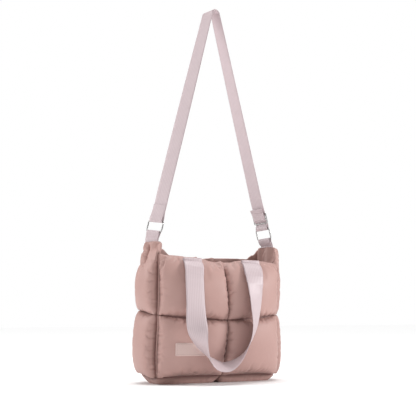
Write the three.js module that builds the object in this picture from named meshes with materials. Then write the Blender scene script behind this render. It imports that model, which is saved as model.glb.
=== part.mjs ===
// Quilted shoulder bag, in millimetres with +Z up and its front towards -Y.
// Five padded panels make the open-topped body. Two webbing handles are sewn to its faces, and a shoulder
// strap with a three-bar slide hangs it from two rectangular rings. The origin is under the strap's crest.
import * as THREE from "three";
import { mergeVertices } from "three/addons/utils/BufferGeometryUtils.js";

// Body: heights are above the floor that the bag stands on
const BOTTOM_SEAM_Z = 18;
const CORNER_SEAM_Z = { front: 15, back: 23 };
const MIDDLE_SEAM_Z = { front: 165, back: 177 };
const MIDDLE_SEAM_SAG = 12;
const MIDDLE_SHARE = 0.45;
const SEAM_THICKNESS = 3;
const SEAM_INSET = 2;
const LOWEST_SHARE = (MIDDLE_SHARE * SEAM_INSET) / (MIDDLE_SEAM_Z.front - CORNER_SEAM_Z.front);
const PILLOW_POWER = 0.45;
const FACE_PUFF = { outer: 24, inner: 9 };
const GUSSET_PUFF = { outer: 25, inner: 6 };
const BOTTOM_PUFF = { outer: 24, inner: 5 };
const EAR_FOLD = { depth: 0.55, halfWidth: 0.3, from: 0.7 };
const EAR_EASE = { from: 0.62, left: 1, right: 0.35 };
const EAR_TURN_FROM = 0.8;
const EAR_DROP = { front: 6, from: 0.35 };
const EAR_GATHER = { from: 0.68, left: 0.4, right: 0 };
const BASE_SAG = 5;

// Webbing
const STRAP = { width: 38, thickness: 1.4 };
const HANDLE = { width: 49, thickness: 1.8 };
const LAYER_GAP = 0.4;
const SEWN_GAP = 1.1;
const TAB_FOOT_GAP = 1.2;

// Metal
const RING = { innerWidth: 41, pitch: 29, wireRadius: 1.6, cornerRadius: 5 };
const SLIDE = { innerWidth: 41, barPitch: 12.5, bar: 2.4, thickness: 2, cornerRadius: 4 };

// Shoulder strap: its crest sits on a round peg
const CREST = { x: 9, pegTopZ: 954, pegRadius: 11 };

// Label patch on the lower left puff of the front
const LABEL = { x: -93, z: 84, width: 80, height: 31, thickness: 1.2 };

const COLOURS = { nylon: "#b18f89", webbing: "#dccbce", label: "#cbb2ad", metal: "#b9b7b6" };

// Side seams and bulge of the body, from the bottom seam (share 0) to the ears (share 1).
// lean moves the whole level to the right, sway only the middle of the faces.
const BODY_LEVELS = [
  { share: 0.0, halfWidth: 165, halfDepth: 45, belly: 12, lean: 0, sway: 2 },
  { share: 0.1, halfWidth: 168, halfDepth: 47, belly: 19, lean: 0, sway: 4 },
  { share: 0.45, halfWidth: 165, halfDepth: 47, belly: 30, lean: 1, sway: 9 },
  { share: 0.8, halfWidth: 166, halfDepth: 45, belly: 27, lean: 4, sway: 4 },
  { share: 1.0, halfWidth: 166, halfDepth: 37, belly: 18, lean: 8, sway: 0 },
];

// Height of the top edge across the front and the back, from below the left ear to below the right ear
const TOP_EDGE = [
  { across: -1.0, front: 312, back: 338 },
  { across: -0.88, front: 309, back: 336 },
  { across: -0.7, front: 307, back: 330 },
  { across: -0.56, front: 305, back: 315 },
  { across: 0.0, front: 294, back: 310 },
  { across: 0.5, front: 302, back: 311 },
  { across: 0.78, front: 299, back: 311 },
  { across: 0.88, front: 297, back: 321 },
  { across: 1.0, front: 296, back: 338 },
];

// Where each ear's tab and ring sit, and how far their width is turned from the X axis towards the front
const STRAP_ENDS = {
  left: { side: -1, earZ: 343, ringX: -153, ringZ: 369, turnDeg: -58 },
  right: { side: 1, earZ: 339, ringX: 167, ringZ: 360, turnDeg: -70 },
};
const CREST_TURN_DEG = -88;

// Two-dimensional runs of webbing round a bar, up the strap and out from it
const SEWN_LOOP = [
  { up: 42, out: 1 },
  { up: 26, out: 1 },
  { up: 15, out: 2.6 },
  { up: 7, out: 4.2 },
  { up: 1, out: 3.7 },
  { up: -2.3, out: 2.8 },
  { up: -3.7, out: 0 },
  { up: -2.3, out: -2.8 },
  { up: 1, out: -3.5 },
  { up: 7, out: -3.4 },
  { up: 15, out: -2 },
  { up: 26, out: -0.8 },
  { up: 42, out: -0.8 },
  { up: 70, out: 0 },
];
const SLIDE_UP = 27;
const SLIDE_RUN = [
  { up: 78, out: 0 },
  { up: 60, out: 0.8 },
  { up: 46, out: 2 },
  { up: 41, out: 2.3 },
  { up: 38.2, out: 2.1 },
  { up: 34, out: 0.2 },
  { up: 30.5, out: -1.7 },
  { up: 27, out: -2.2 },
  { up: 24.3, out: -1.8 },
  { up: 20.75, out: 1 },
  { up: 16.8, out: 4 },
  { up: 13, out: 4.6 },
  { up: 8, out: 4.8 },
  { up: 2.5, out: 4.2 },
  { up: -1.6, out: 3.2 },
  { up: -3.5, out: 0.4 },
  { up: -2, out: -2.7 },
  { up: 1.6, out: -3.4 },
  { up: 6, out: -1.6 },
  { up: 10.2, out: 1.6 },
  { up: 13.6, out: 2.5 },
  { up: 16, out: 2.35 },
  { up: 17.5, out: 1.6 },
  { up: 20.75, out: -1 },
  { up: 24.2, out: -3.7 },
  { up: 27, out: -4.1 },
  { up: 33, out: -4.1 },
  { up: 42, out: -6 },
  { up: 54, out: -10.5 },
];
const TAB_LOOP = [
  { up: -14, out: 1.2 },
  { up: -7, out: 2.8 },
  { up: -1, out: 3.6 },
  { up: 2.3, out: 2.7 },
  { up: 3.6, out: 0 },
  { up: 2.3, out: -2.7 },
  { up: -1, out: -3.6 },
  { up: -7, out: -2.8 },
  { up: -14, out: -1.2 },
];
const TAB_LAYER_OUT = 1.1;
const TAB_RISE = 4;
const TAB_BEND_ROOM = 5;

// Handles: legs on the faces, and a free loop that twists until its width stands out from the bag.
// drop is the share of the way down from the rim to the lowest point.
const HANDLE_LOOP = { middleX: 0.5, halfSpan: 81.5, turnZ: 164, lowestZ: 43, droopDeg: 27, droopFrom: 0.82 };
const LOOP_ROUNDING = { left: 0.95, right: 1.15 };
const HANDLE_SWING = { soon: -6, later: -12, soonDrop: 0.15 };
const HANDLE_TWIST = [
  { drop: 0.0, leftDeg: 0, rightDeg: 0 },
  { drop: 0.14, leftDeg: 0, rightDeg: 0 },
  { drop: 0.28, leftDeg: 0, rightDeg: 17 },
  { drop: 0.45, leftDeg: 2, rightDeg: 32 },
  { drop: 0.6, leftDeg: 21, rightDeg: 45 },
  { drop: 0.69, leftDeg: 48, rightDeg: 52 },
  { drop: 0.76, leftDeg: 69, rightDeg: 56 },
  { drop: 0.83, leftDeg: 86, rightDeg: 60 },
  { drop: 0.92, leftDeg: 105, rightDeg: 62 },
  { drop: 1.0, leftDeg: 118, rightDeg: 62 },
];
const WIDTH_SHARES = [-0.5, -0.25, 0, 0.25, 0.5];
const HANDLE_SEWN = { length: 34, slant: 0.35, crowding: 1.4 };
const HANDLE_BELOW_RIM = 5;
const HANDLE_LOOP_GAP = 4.6;
const LOOP_BRIDGE = [-30, 0, 30];
const LOOP_EASE = 4;
const HANDLE_FOLD_RADIUS = 3.4;
const HANDLE_STEPS = { sewn: 8, fold: 5, leg: 13, loop: 28 };

// Small maths
const smooth = (from, to, x) => THREE.MathUtils.smoothstep(x, from, to);
const mix = THREE.MathUtils.lerp;
const pillow = (share, power) => Math.pow(Math.max(0, 4 * share * (1 - share)), power);
const rounded = (share) => (1 - Math.cos(Math.PI * share)) / 2;

// A column of BODY_LEVELS as a smooth function of the share of the height
function levelColumn(name) {
  const shares = BODY_LEVELS.map((row) => row.share);
  const values = BODY_LEVELS.map((row) => row[name]);
  const curve = new THREE.CubicInterpolant(shares, values, 1);
  return (share) => curve.evaluate(THREE.MathUtils.clamp(share, 0, 1))[0];
}
const halfWidth = levelColumn("halfWidth");
const halfDepth = levelColumn("halfDepth");
const belly = levelColumn("belly");
const lean = levelColumn("lean");
const sway = levelColumn("sway");

// The body's half depth at the back seam of a side, which the strap's tab gathers in at the ear
function backDepth(side, share) {
  const gather = side < 0 ? EAR_GATHER.left : EAR_GATHER.right;
  return halfDepth(share) * (1 - gather * smooth(EAR_GATHER.from, 1, share));
}

// The height of a face's top edge, eased from each row of TOP_EDGE to the next
function topEdge(face, across) {
  const column = face < 0 ? "front" : "back";
  const next = Math.max(1, TOP_EDGE.findIndex((row) => row.across >= across));
  const [low, high] = [TOP_EDGE[next - 1], TOP_EDGE[next]];
  return mix(low[column], high[column], smooth(low.across, high.across, across));
}
const ofFace = (face, pair) => (face < 0 ? pair.front : pair.back);
const endOf = (side) => (side < 0 ? STRAP_ENDS.left : STRAP_ENDS.right);
const bottomSeam = (face, across) =>
  mix(BOTTOM_SEAM_Z, ofFace(face, CORNER_SEAM_Z), Math.pow(Math.abs(across), 4));
const middleSeam = (face, across) =>
  ofFace(face, MIDDLE_SEAM_Z) - MIDDLE_SEAM_SAG * (1 - Math.pow(Math.abs(across), 1.5));

// The share of a side seam's length, from the bottom seam to the ear, that a height stands for
function sideShare(face, side, z) {
  const seam = ofFace(face, MIDDLE_SEAM_Z);
  const corner = ofFace(face, CORNER_SEAM_Z);
  return z < seam
    ? (MIDDLE_SHARE * (z - corner)) / (seam - corner)
    : MIDDLE_SHARE + ((1 - MIDDLE_SHARE) * (z - seam)) / (endOf(side).earZ - seam);
}

// The seam surface of a face (-1 front, 1 back), across from -1 to 1 and up from 0 to 1
function facePoint(face, across, up) {
  const seam = middleSeam(face, across);
  const z =
    up < MIDDLE_SHARE
      ? mix(bottomSeam(face, across), seam, up / MIDDLE_SHARE)
      : mix(seam, topEdge(face, across), (up - MIDDLE_SHARE) / (1 - MIDDLE_SHARE));
  const side = across < 0 ? -1 : 1;
  const level = mix(up, sideShare(face, side, z), Math.pow(across, 4));
  const x = lean(level) + across * halfWidth(level) + sway(level) * (1 - across * across);
  const seamDepth = face < 0 ? halfDepth(level) : backDepth(side, level);
  const depth = mix(halfDepth(level), seamDepth, Math.pow(across, 12));
  const y = face * (depth + belly(level) * (1 - across * across));
  return new THREE.Vector3(x, y, z);
}

// The place within one quilted cell, from 0 to 1, of a point on a face or a gusset
const cellUp = (up) => (up < MIDDLE_SHARE ? up / MIDDLE_SHARE : (up - MIDDLE_SHARE) / (1 - MIDDLE_SHARE));
const cellAcross = (across) => (across < 0 ? across + 1 : across);

function faceOffset(across, up, layer) {
  const power = layer === "outer" ? PILLOW_POWER : 1;
  const puff = pillow(cellAcross(across), power) * pillow(cellUp(up), power);
  return SEAM_THICKNESS / 2 + FACE_PUFF[layer] * puff;
}

// How far a face's outer skin stands from the middle plane at a given place
function skin(face, x, z) {
  let across = x / halfWidth(MIDDLE_SHARE);
  let up = MIDDLE_SHARE;
  for (let pass = 0; pass < 8; pass++) {
    const middle = middleSeam(face, across);
    const top = topEdge(face, across);
    up =
      z < middle
        ? (MIDDLE_SHARE * (z - bottomSeam(face, across))) / (middle - bottomSeam(face, across))
        : MIDDLE_SHARE + ((1 - MIDDLE_SHARE) * (z - middle)) / (top - middle);
    up = THREE.MathUtils.clamp(up, 0, 1);
    across = (x - lean(up) - sway(up) * (1 - across * across)) / halfWidth(up);
    across = THREE.MathUtils.clamp(across, -1, 1);
  }
  return Math.abs(facePoint(face, across, up).y) + faceOffset(across, up, "outer");
}

// A closed box of coordinates from -1 to 1, with every point moved by place(a, b, c)
function warpedBox(counts, place) {
  const box = new THREE.BoxGeometry(2, 2, 2, counts.a, counts.b, counts.c);
  box.deleteAttribute("normal");
  box.deleteAttribute("uv");
  const solid = mergeVertices(box);
  const at = solid.getAttribute("position");
  for (let i = 0; i < at.count; i++) {
    const p = place(at.getX(i), at.getY(i), at.getZ(i));
    at.setXYZ(i, p.x, p.y, p.z);
  }
  solid.computeVertexNormals();
  return solid;
}

// Even steps from -1 to 1 drawn closer together at the edges and at one seam between them
function spacedBySeam(step, seamShare) {
  const share = (step + 1) / 2;
  const placed =
    share < 0.5 ? seamShare * rounded(2 * share) : seamShare + (1 - seamShare) * rounded(2 * share - 1);
  return 2 * placed - 1;
}

// Front and back panels: two by two puffs
function facePanel(face) {
  return warpedBox({ a: 24, b: 1, c: 20 }, (a, b, c) => {
    const reach = 1 - SEAM_INSET / halfWidth(MIDDLE_SHARE);
    const across = spacedBySeam(a, 0.5) * reach;
    const up = mix(LOWEST_SHARE, 1, (spacedBySeam(c, MIDDLE_SHARE) + 1) / 2);
    const p = facePoint(face, across, up);
    const layer = b === face ? "outer" : "inner";
    p.y += b * faceOffset(across, up, layer);
    return p;
  });
}

// Side gussets: one column of two puffs. The upper one thins out towards the ear, which is folded in
// below the strap's tab and turned with it.
function gusset(side) {
  const { earZ, turnDeg } = endOf(side);
  const backDrop = earZ - topEdge(1, side);
  const ease = side < 0 ? EAR_EASE.left : EAR_EASE.right;
  const turn = 1 / Math.tan(THREE.MathUtils.degToRad(turnDeg));
  return warpedBox({ a: 1, b: 10, c: 22 }, (a, b, c) => {
    const up = mix(LOWEST_SHARE, 1, (spacedBySeam(c, MIDDLE_SHARE) + 1) / 2);
    const depth = Math.sin((b * Math.PI) / 2);
    const layer = a === side ? "outer" : "inner";
    const power = layer === "outer" ? PILLOW_POWER : 1;
    const foldLine = Math.exp(-Math.pow(depth / EAR_FOLD.halfWidth, 2));
    const unfolded = 1 - EAR_FOLD.depth * smooth(EAR_FOLD.from, 1, up) * foldLine;
    const full = unfolded * (1 - ease * smooth(EAR_EASE.from, 1, up));
    const puff = pillow((depth + 1) / 2, power) * pillow(cellUp(up), power) * full;
    const seamZ = mix(MIDDLE_SEAM_Z.front, MIDDLE_SEAM_Z.back, (depth + 1) / 2);
    const cornerZ = mix(CORNER_SEAM_Z.front, CORNER_SEAM_Z.back, (depth + 1) / 2);
    const drop = (depth < 0 ? EAR_DROP.front : backDrop) * smooth(EAR_DROP.from, 1, Math.abs(depth));
    const rise = (up - MIDDLE_SHARE) / (1 - MIDDLE_SHARE);
    const z = rise < 0 ? mix(cornerZ, seamZ, up / MIDDLE_SHARE) : mix(seamZ, earZ - drop, rise);
    const level = rise < 0 ? up : MIDDLE_SHARE + ((1 - MIDDLE_SHARE) * (z - seamZ)) / (earZ - seamZ);
    const reach = depth < 0 ? halfDepth(level) : backDepth(side, level);
    const y = depth * (reach - SEAM_INSET);
    const turned = turn * y * (1 - Math.pow(depth, 4)) * smooth(EAR_TURN_FROM, 1, up);
    const out = a * (SEAM_THICKNESS / 2 + GUSSET_PUFF[layer] * puff);
    const x = lean(level) + side * halfWidth(level) + turned + out;
    return new THREE.Vector3(x, y, z);
  });
}

// Bottom panel: two puffs side by side, flattened where they stand on the floor
function bottomPanel() {
  return warpedBox({ a: 24, b: 10, c: 1 }, (a, b, c) => {
    const across = spacedBySeam(a, 0.5) * (1 - SEAM_INSET / halfWidth(0));
    const depth = Math.sin((b * Math.PI) / 2);
    const edge = facePoint(1, across, 0);
    const edgeZ = mix(bottomSeam(-1, across), bottomSeam(1, across), (depth + 1) / 2);
    const layer = c < 0 ? "outer" : "inner";
    const power = layer === "outer" ? PILLOW_POWER : 1;
    const puff = pillow(cellAcross(across), power) * pillow((depth + 1) / 2, power);
    const seamZ = edgeZ - BASE_SAG * (1 - depth * depth);
    const z = seamZ + c * (SEAM_THICKNESS / 2 + BOTTOM_PUFF[layer] * puff);
    return new THREE.Vector3(edge.x, depth * (edge.y - SEAM_INSET), Math.max(0, z));
  });
}

// Gives a band's broad faces the same diagonals, so that its thickness stays even where it twists
function matchDiagonals(band) {
  const lowSide = 3;
  const { start, count } = band.groups.find((group) => group.materialIndex === lowSide);
  const corners = band.getIndex().array;
  for (let i = start; i < start + count; i += 6) {
    const [a, b, d, , c] = corners.slice(i, i + 6);
    corners.set([a, b, c, a, c, d], i);
  }
  band.computeVertexNormals();
  return band;
}

// A flat band through stations of { point, across }, where across is the direction of its width
function ribbon(stations, size) {
  const last = stations.length - 1;
  const tangent = (i) =>
    new THREE.Vector3()
      .subVectors(stations[Math.min(i + 1, last)].point, stations[Math.max(i - 1, 0)].point)
      .normalize();
  const band = warpedBox({ a: 1, b: 1, c: last }, (a, b, c) => {
    const i = Math.round(((c + 1) / 2) * last);
    const along = tangent(i);
    const across = stations[i].across.clone();
    across.addScaledVector(along, -across.dot(along)).normalize();
    const normal = new THREE.Vector3().crossVectors(along, across);
    return stations[i].point
      .clone()
      .addScaledVector(across, (a * size.width) / 2)
      .addScaledVector(normal, (b * size.thickness) / 2);
  });
  return matchDiagonals(band);
}

// Distances in a run from first to last, each eased over its neighbours and never less than it was.
// Webbing bends evenly, so the furthest points carry the ones beside them outwards.
function easedOut(outs, first, last) {
  const around = (values, i) => {
    const reach = Math.max(0, Math.min(LOOP_EASE, Math.floor(Math.min(i - first, last - i) / 2)));
    return values.slice(i - reach, i + reach + 1);
  };
  const carried = outs.map((_, i) => Math.max(...around(outs, i)));
  const sum = (values) => values.reduce((total, value) => total + value, 0);
  return outs.map((out, i) => Math.max(out, sum(around(carried, i)) / around(carried, i).length));
}

// A webbing handle, made on the front and turned half round for the back
function handle(face) {
  const place = face < 0 ? (x) => x : (x) => -x;
  const middle = place(HANDLE_LOOP.middleX);
  const drops = HANDLE_TWIST.map((row) => row.drop);
  const column = (name) => HANDLE_TWIST.map((row) => row[name]);
  const twistCurve = (name) => new THREE.CubicInterpolant(drops, column(name), 1);
  const twists = { left: twistCurve("leftDeg"), right: twistCurve("rightDeg") };
  const acrossAt = (twist, drop) => {
    const droop = THREE.MathUtils.degToRad(HANDLE_LOOP.droopDeg) * smooth(HANDLE_LOOP.droopFrom, 1, drop);
    const outward = Math.sin(twist);
    return new THREE.Vector3(Math.cos(twist), -outward * Math.cos(droop), -outward * Math.sin(droop));
  };
  const outAt = (x, z) => skin(face, place(x), z);
  const swing = (drop) =>
    HANDLE_SWING.soon * smooth(0, HANDLE_SWING.soonDrop, drop) + HANDLE_SWING.later * drop;

  // One half, listed from the sewn end under the rim to the lowest point of the loop
  const half = (side) => {
    const leg = side < 0 ? "left" : "right";
    const legX = middle + side * HANDLE_LOOP.halfSpan;
    const edges = WIDTH_SHARES.map((share) => legX + share * HANDLE.width);
    const rim = topEdge(face, place(legX) / halfWidth(1)) - HANDLE_BELOW_RIM;
    const out = (z) => Math.max(...edges.map((edge) => outAt(edge, z)));
    const sewn = SEWN_GAP + HANDLE.thickness / 2;
    const dropAt = (z) => (rim - z) / (rim - HANDLE_LOOP.lowestZ);
    const rows = [];
    for (let i = 0; i <= HANDLE_STEPS.sewn; i++) {
      const z = rim - HANDLE_SEWN.length * Math.pow(1 - i / HANDLE_STEPS.sewn, HANDLE_SEWN.crowding);
      const x = legX + HANDLE_SEWN.slant * swing(dropAt(z));
      rows.push({ x, out: out(z) + sewn, z, twist: 0, drop: 0 });
    }
    const foldMiddle = out(rim) + sewn + HANDLE_FOLD_RADIUS;
    for (let i = 1; i <= HANDLE_STEPS.fold; i++) {
      const angle = Math.PI * (1 - i / HANDLE_STEPS.fold);
      const [outward, upward] = [Math.cos(angle), Math.sin(angle)];
      rows.push({
        x: legX,
        out: foldMiddle + HANDLE_FOLD_RADIUS * outward,
        z: rim + HANDLE_FOLD_RADIUS * upward,
        twist: 0,
        drop: 0,
      });
    }

    // The free half of the loop: straight down to turnZ, then a quarter turn to the lowest point
    const legSteps = HANDLE_STEPS.leg;
    const turnSteps = HANDLE_STEPS.loop / 2;
    let furthest = foldMiddle + HANDLE_FOLD_RADIUS;
    for (let i = 1; i <= legSteps + turnSteps; i++) {
      const angle = (Math.PI / 2) * Math.max(0, (i - legSteps) / turnSteps);
      const legShare = Math.pow(Math.min(1, i / legSteps), 1.4);
      const turnDrop = (HANDLE_LOOP.turnZ - HANDLE_LOOP.lowestZ) * Math.sin(angle);
      const z = mix(rim, HANDLE_LOOP.turnZ, legShare) - turnDrop;
      const drop = dropAt(z);
      const span = HANDLE_LOOP.halfSpan * Math.pow(Math.cos(angle), LOOP_ROUNDING[leg]);
      const x = middle + side * span + swing(drop);
      const twist = THREE.MathUtils.degToRad(twists[leg].evaluate(drop)[0]);
      const across = acrossAt(side < 0 ? twist : Math.PI - twist, drop).multiplyScalar(HANDLE.width);
      const clear = WIDTH_SHARES.map((share) => {
        const [pointX, pointZ] = [x + share * across.x, z + share * across.z];
        const nearby = LOOP_BRIDGE.map((shift) => outAt(pointX + shift, pointZ));
        return Math.max(...nearby) + share * across.y + HANDLE_LOOP_GAP;
      });
      if (angle === 0) furthest = Math.max(furthest, out(z) + HANDLE_LOOP_GAP);
      rows.push({ x, out: Math.max(furthest, ...clear), z, twist, drop });
    }
    return rows;
  };

  const left = half(-1);
  const right = half(1)
    .reverse()
    .slice(1)
    .map((row) => ({ ...row, twist: Math.PI - row.twist }));
  const rows = [...left, ...right];
  const foldEnd = HANDLE_STEPS.sewn + HANDLE_STEPS.fold;
  const outs = easedOut(
    rows.map((row) => row.out),
    foldEnd,
    rows.length - 1 - foldEnd,
  );
  const stations = rows.map((row, i) => ({
    point: new THREE.Vector3(row.x, -outs[i], row.z),
    across: acrossAt(row.twist, row.drop),
  }));
  const band = ribbon(stations, HANDLE);
  return face < 0 ? band : band.rotateZ(Math.PI);
}

// The line of each strap branch: from the top bar of its ring to where it meets the peg
const strapRadius = CREST.pegRadius + STRAP.thickness / 2;
const pegMiddle = new THREE.Vector3(CREST.x, 0, CREST.pegTopZ - CREST.pegRadius);

function branch(end) {
  const lowBar = new THREE.Vector3(end.ringX, 0, end.ringZ);
  const toPeg = new THREE.Vector3().subVectors(pegMiddle, lowBar);
  const spread = Math.asin(strapRadius / toPeg.length());
  const tilt = Math.atan2(toPeg.x, toPeg.z) + end.side * spread;
  const upward = new THREE.Vector3(Math.sin(tilt), 0, Math.cos(tilt));
  const turn = THREE.MathUtils.degToRad(end.turnDeg);
  const across = new THREE.Vector3(Math.cos(turn), Math.sin(turn), 0);
  across.addScaledVector(upward, -across.dot(upward)).normalize();
  const outward = new THREE.Vector3().crossVectors(upward, across);
  if (outward.x * end.side < 0) outward.negate();
  const topBar = lowBar.clone().addScaledVector(upward, RING.pitch);
  const meets = toPeg.length() * Math.cos(spread);
  return { lowBar, topBar, upward, across, outward, meets };
}

// A table of { up, out } rows as points round a bar, smoothed into the given number of steps
function runPoints(table, bar, frame, steps) {
  const rows = table.map((row) =>
    bar.clone().addScaledVector(frame.upward, row.up).addScaledVector(frame.outward, row.out),
  );
  return new THREE.CatmullRomCurve3(rows, false, "centripetal").getSpacedPoints(steps);
}

// The whole strap: sewn loop on the left ring, over the peg, and through the slide and ring on the right
function shoulderStrap() {
  const left = branch(STRAP_ENDS.left);
  const right = branch(STRAP_ENDS.right);
  const points = runPoints(SEWN_LOOP, left.topBar, left, 38);
  const leftCount = points.length;
  const straight = (frame, from, to, count) => {
    for (let i = 1; i <= count; i++)
      points.push(frame.lowBar.clone().addScaledVector(frame.upward, mix(from, to, i / count)));
  };
  straight(left, RING.pitch + SEWN_LOOP.at(-1).up, left.meets, 7);
  const angleOf = (frame) => Math.atan2(-frame.upward.x, frame.upward.z);
  const [first, last] = [Math.PI + angleOf(left), angleOf(right)];
  for (let i = 1; i < 10; i++) {
    const angle = mix(first, last, i / 10);
    const fromMiddle = new THREE.Vector3(Math.cos(angle), 0, Math.sin(angle)).multiplyScalar(strapRadius);
    points.push(fromMiddle.add(pegMiddle));
  }
  straight(right, right.meets + 0.01, right.meets, 1);
  straight(right, right.meets, RING.pitch + SLIDE_RUN[0].up + 12, 7);
  const rightStart = points.length;
  points.push(...runPoints(SLIDE_RUN, right.topBar, right, 72));

  // The width turns evenly from the direction of each ring's bars to the crest's
  const crestTurn = THREE.MathUtils.degToRad(CREST_TURN_DEG);
  const crestAcross = new THREE.Vector3(Math.cos(crestTurn), Math.sin(crestTurn), 0);
  const crestIndex = (leftCount + rightStart) / 2;
  const stations = points.map((point, i) => {
    const across =
      i < crestIndex
        ? left.across.clone().lerp(crestAcross, smooth(leftCount, crestIndex, i))
        : crestAcross.clone().lerp(right.across, smooth(crestIndex, rightStart, i));
    return { point, across };
  });
  return ribbon(stations, STRAP);
}

// A tab: webbing doubled round the ring's low bar. Both layers stand upright on the top of the gusset,
// and the rows of the loop begin high enough to leave room for the bend above the foot.
function strapTab(end) {
  const frame = branch(end);
  const ear = new THREE.Vector3(lean(1) + end.side * halfWidth(1), 0, end.earZ + TAB_FOOT_GAP);
  const level = new THREE.Vector3(frame.across.x, frame.across.y, 0).normalize();
  const aside = new THREE.Vector3(0, 0, 1).cross(level);
  if (aside.x * end.side < 0) aside.negate();
  const loop = TAB_LOOP.map((row) =>
    frame.lowBar.clone().addScaledVector(frame.upward, row.up).addScaledVector(frame.outward, row.out),
  ).filter((point) => point.z > ear.z + TAB_RISE + TAB_BEND_ROOM);
  const above = (out, rise) => ear.clone().addScaledVector(aside, out).setZ(ear.z + rise);
  const foot = (out) => [above(out, 0), above(out, TAB_RISE)];
  const rows = [...foot(TAB_LAYER_OUT), ...loop, ...foot(-TAB_LAYER_OUT).reverse()];
  const points = new THREE.CatmullRomCurve3(rows, false, "centripetal").getSpacedPoints(30);
  const stations = points.map((point) => ({
    point,
    across: level.clone().lerp(frame.across, smooth(ear.z, frame.lowBar.z - 8, point.z)),
  }));
  return ribbon(stations, STRAP);
}

// A rounded rectangle as a closed path round the origin
function roundedRectangle(path, width, height, radius) {
  const [x, y] = [width / 2 - radius, height / 2 - radius];
  path.absarc(x, y, radius, 0, Math.PI / 2);
  path.absarc(-x, y, radius, Math.PI / 2, Math.PI);
  path.absarc(-x, -y, radius, Math.PI, Math.PI * 1.5);
  path.absarc(x, -y, radius, Math.PI * 1.5, Math.PI * 2);
  path.closePath();
  return path;
}

// Turns a flat piece, drawn in X and Y, into the plane of a strap end
function standInStrap(geometry, frame, middle) {
  const normal = new THREE.Vector3().crossVectors(frame.across, frame.upward);
  const turned = new THREE.Matrix4().makeBasis(frame.across, frame.upward, normal);
  return geometry.applyMatrix4(turned.setPosition(middle));
}

// A rectangular ring of bent wire
function wireRing(end) {
  const outline = roundedRectangle(
    new THREE.Path(),
    RING.innerWidth + 2 * RING.wireRadius,
    RING.pitch,
    RING.cornerRadius,
  );
  const sides = { round: 8, along: 44 };
  const ring = new THREE.TorusGeometry(1, 0.1, sides.round, sides.along);
  const at = ring.getAttribute("position");
  const uv = ring.getAttribute("uv");
  for (let i = 0; i < at.count; i++) {
    const share = uv.getX(i) % 1;
    const p = outline.getPointAt(share);
    const along = outline.getTangentAt(share);
    const angle = uv.getY(i) * Math.PI * 2;
    const out = RING.wireRadius * Math.cos(angle);
    at.setXYZ(i, p.x + along.y * out, p.y - along.x * out, RING.wireRadius * Math.sin(angle));
  }
  ring.deleteAttribute("normal");
  ring.deleteAttribute("uv");
  const solid = mergeVertices(ring);
  const frame = branch(end);
  const middle = frame.lowBar.clone().addScaledVector(frame.upward, RING.pitch / 2);
  return standInStrap(solid, frame, middle);
}

// The three-bar slide that shortens the strap
function strapSlide() {
  const outerHeight = 2 * SLIDE.barPitch + SLIDE.bar;
  const outerWidth = SLIDE.innerWidth + 2 * SLIDE.bar;
  const plate = roundedRectangle(new THREE.Shape(), outerWidth, outerHeight, SLIDE.cornerRadius);
  for (const side of [-1, 1]) {
    const slot = new THREE.Path();
    const [x, low, high] = [
      SLIDE.innerWidth / 2,
      side > 0 ? SLIDE.bar / 2 : SLIDE.bar / 2 - SLIDE.barPitch,
      side > 0 ? SLIDE.barPitch - SLIDE.bar / 2 : -SLIDE.bar / 2,
    ];
    slot.moveTo(-x, low).lineTo(x, low).lineTo(x, high).lineTo(-x, high).closePath();
    plate.holes.push(slot);
  }
  const depth = SLIDE.thickness;
  const solid = new THREE.ExtrudeGeometry(plate, { depth, bevelEnabled: false, curveSegments: 3 });
  solid.translate(0, 0, -depth / 2);
  const frame = branch(STRAP_ENDS.right);
  return standInStrap(solid, frame, frame.topBar.clone().addScaledVector(frame.upward, SLIDE_UP));
}

// The label patch follows the puff that it is sewn to
function labelPatch() {
  return warpedBox({ a: 8, b: 1, c: 4 }, (a, b, c) => {
    const x = LABEL.x + (a * LABEL.width) / 2;
    const z = LABEL.z + (c * LABEL.height) / 2;
    const out = skin(-1, x, z) + SEWN_GAP + (b < 0 ? LABEL.thickness : 0);
    return new THREE.Vector3(x, -out, z);
  });
}

const MATERIALS = {
  nylon: new THREE.MeshStandardMaterial({ color: COLOURS.nylon, roughness: 0.62, metalness: 0 }),
  webbing: new THREE.MeshStandardMaterial({ color: COLOURS.webbing, roughness: 0.5, metalness: 0 }),
  label: new THREE.MeshStandardMaterial({ color: COLOURS.label, roughness: 0.6, metalness: 0 }),
  metal: new THREE.MeshStandardMaterial({ color: COLOURS.metal, roughness: 0.25, metalness: 1 }),
};

const bag = new THREE.Group();
bag.position.set(-CREST.x, 0, -CREST.pegTopZ);
function addPiece(name, geometry, material) {
  const piece = new THREE.Mesh(geometry, MATERIALS[material]);
  piece.name = name;
  bag.add(piece);
}

addPiece("front_panel", facePanel(-1), "nylon");
addPiece("back_panel", facePanel(1), "nylon");
addPiece("bottom_panel", bottomPanel(), "nylon");
addPiece("handle_front", handle(-1), "webbing");
addPiece("handle_back", handle(1), "webbing");
addPiece("label_patch", labelPatch(), "label");
for (const [name, end] of Object.entries(STRAP_ENDS)) {
  addPiece(`gusset_${name}`, gusset(end.side), "nylon");
  addPiece(`strap_tab_${name}`, strapTab(end), "webbing");
  addPiece(`ring_${name}`, wireRing(end), "metal");
}
addPiece("strap_slide", strapSlide(), "metal");
addPiece("shoulder_strap", shoulderStrap(), "webbing");

const root = new THREE.Group();
root.add(bag);
export default root;
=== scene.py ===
# %% [markdown]
# # A quilted shoulder bag
# The bag is a small tote of padded nylon that stands on the floor while its shoulder strap is held up.
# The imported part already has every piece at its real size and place. This lesson gives each piece the
# look of the real one: puffed fabric that puckers at its seams, satin webbing, stitches and bright wire.

import math

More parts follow.
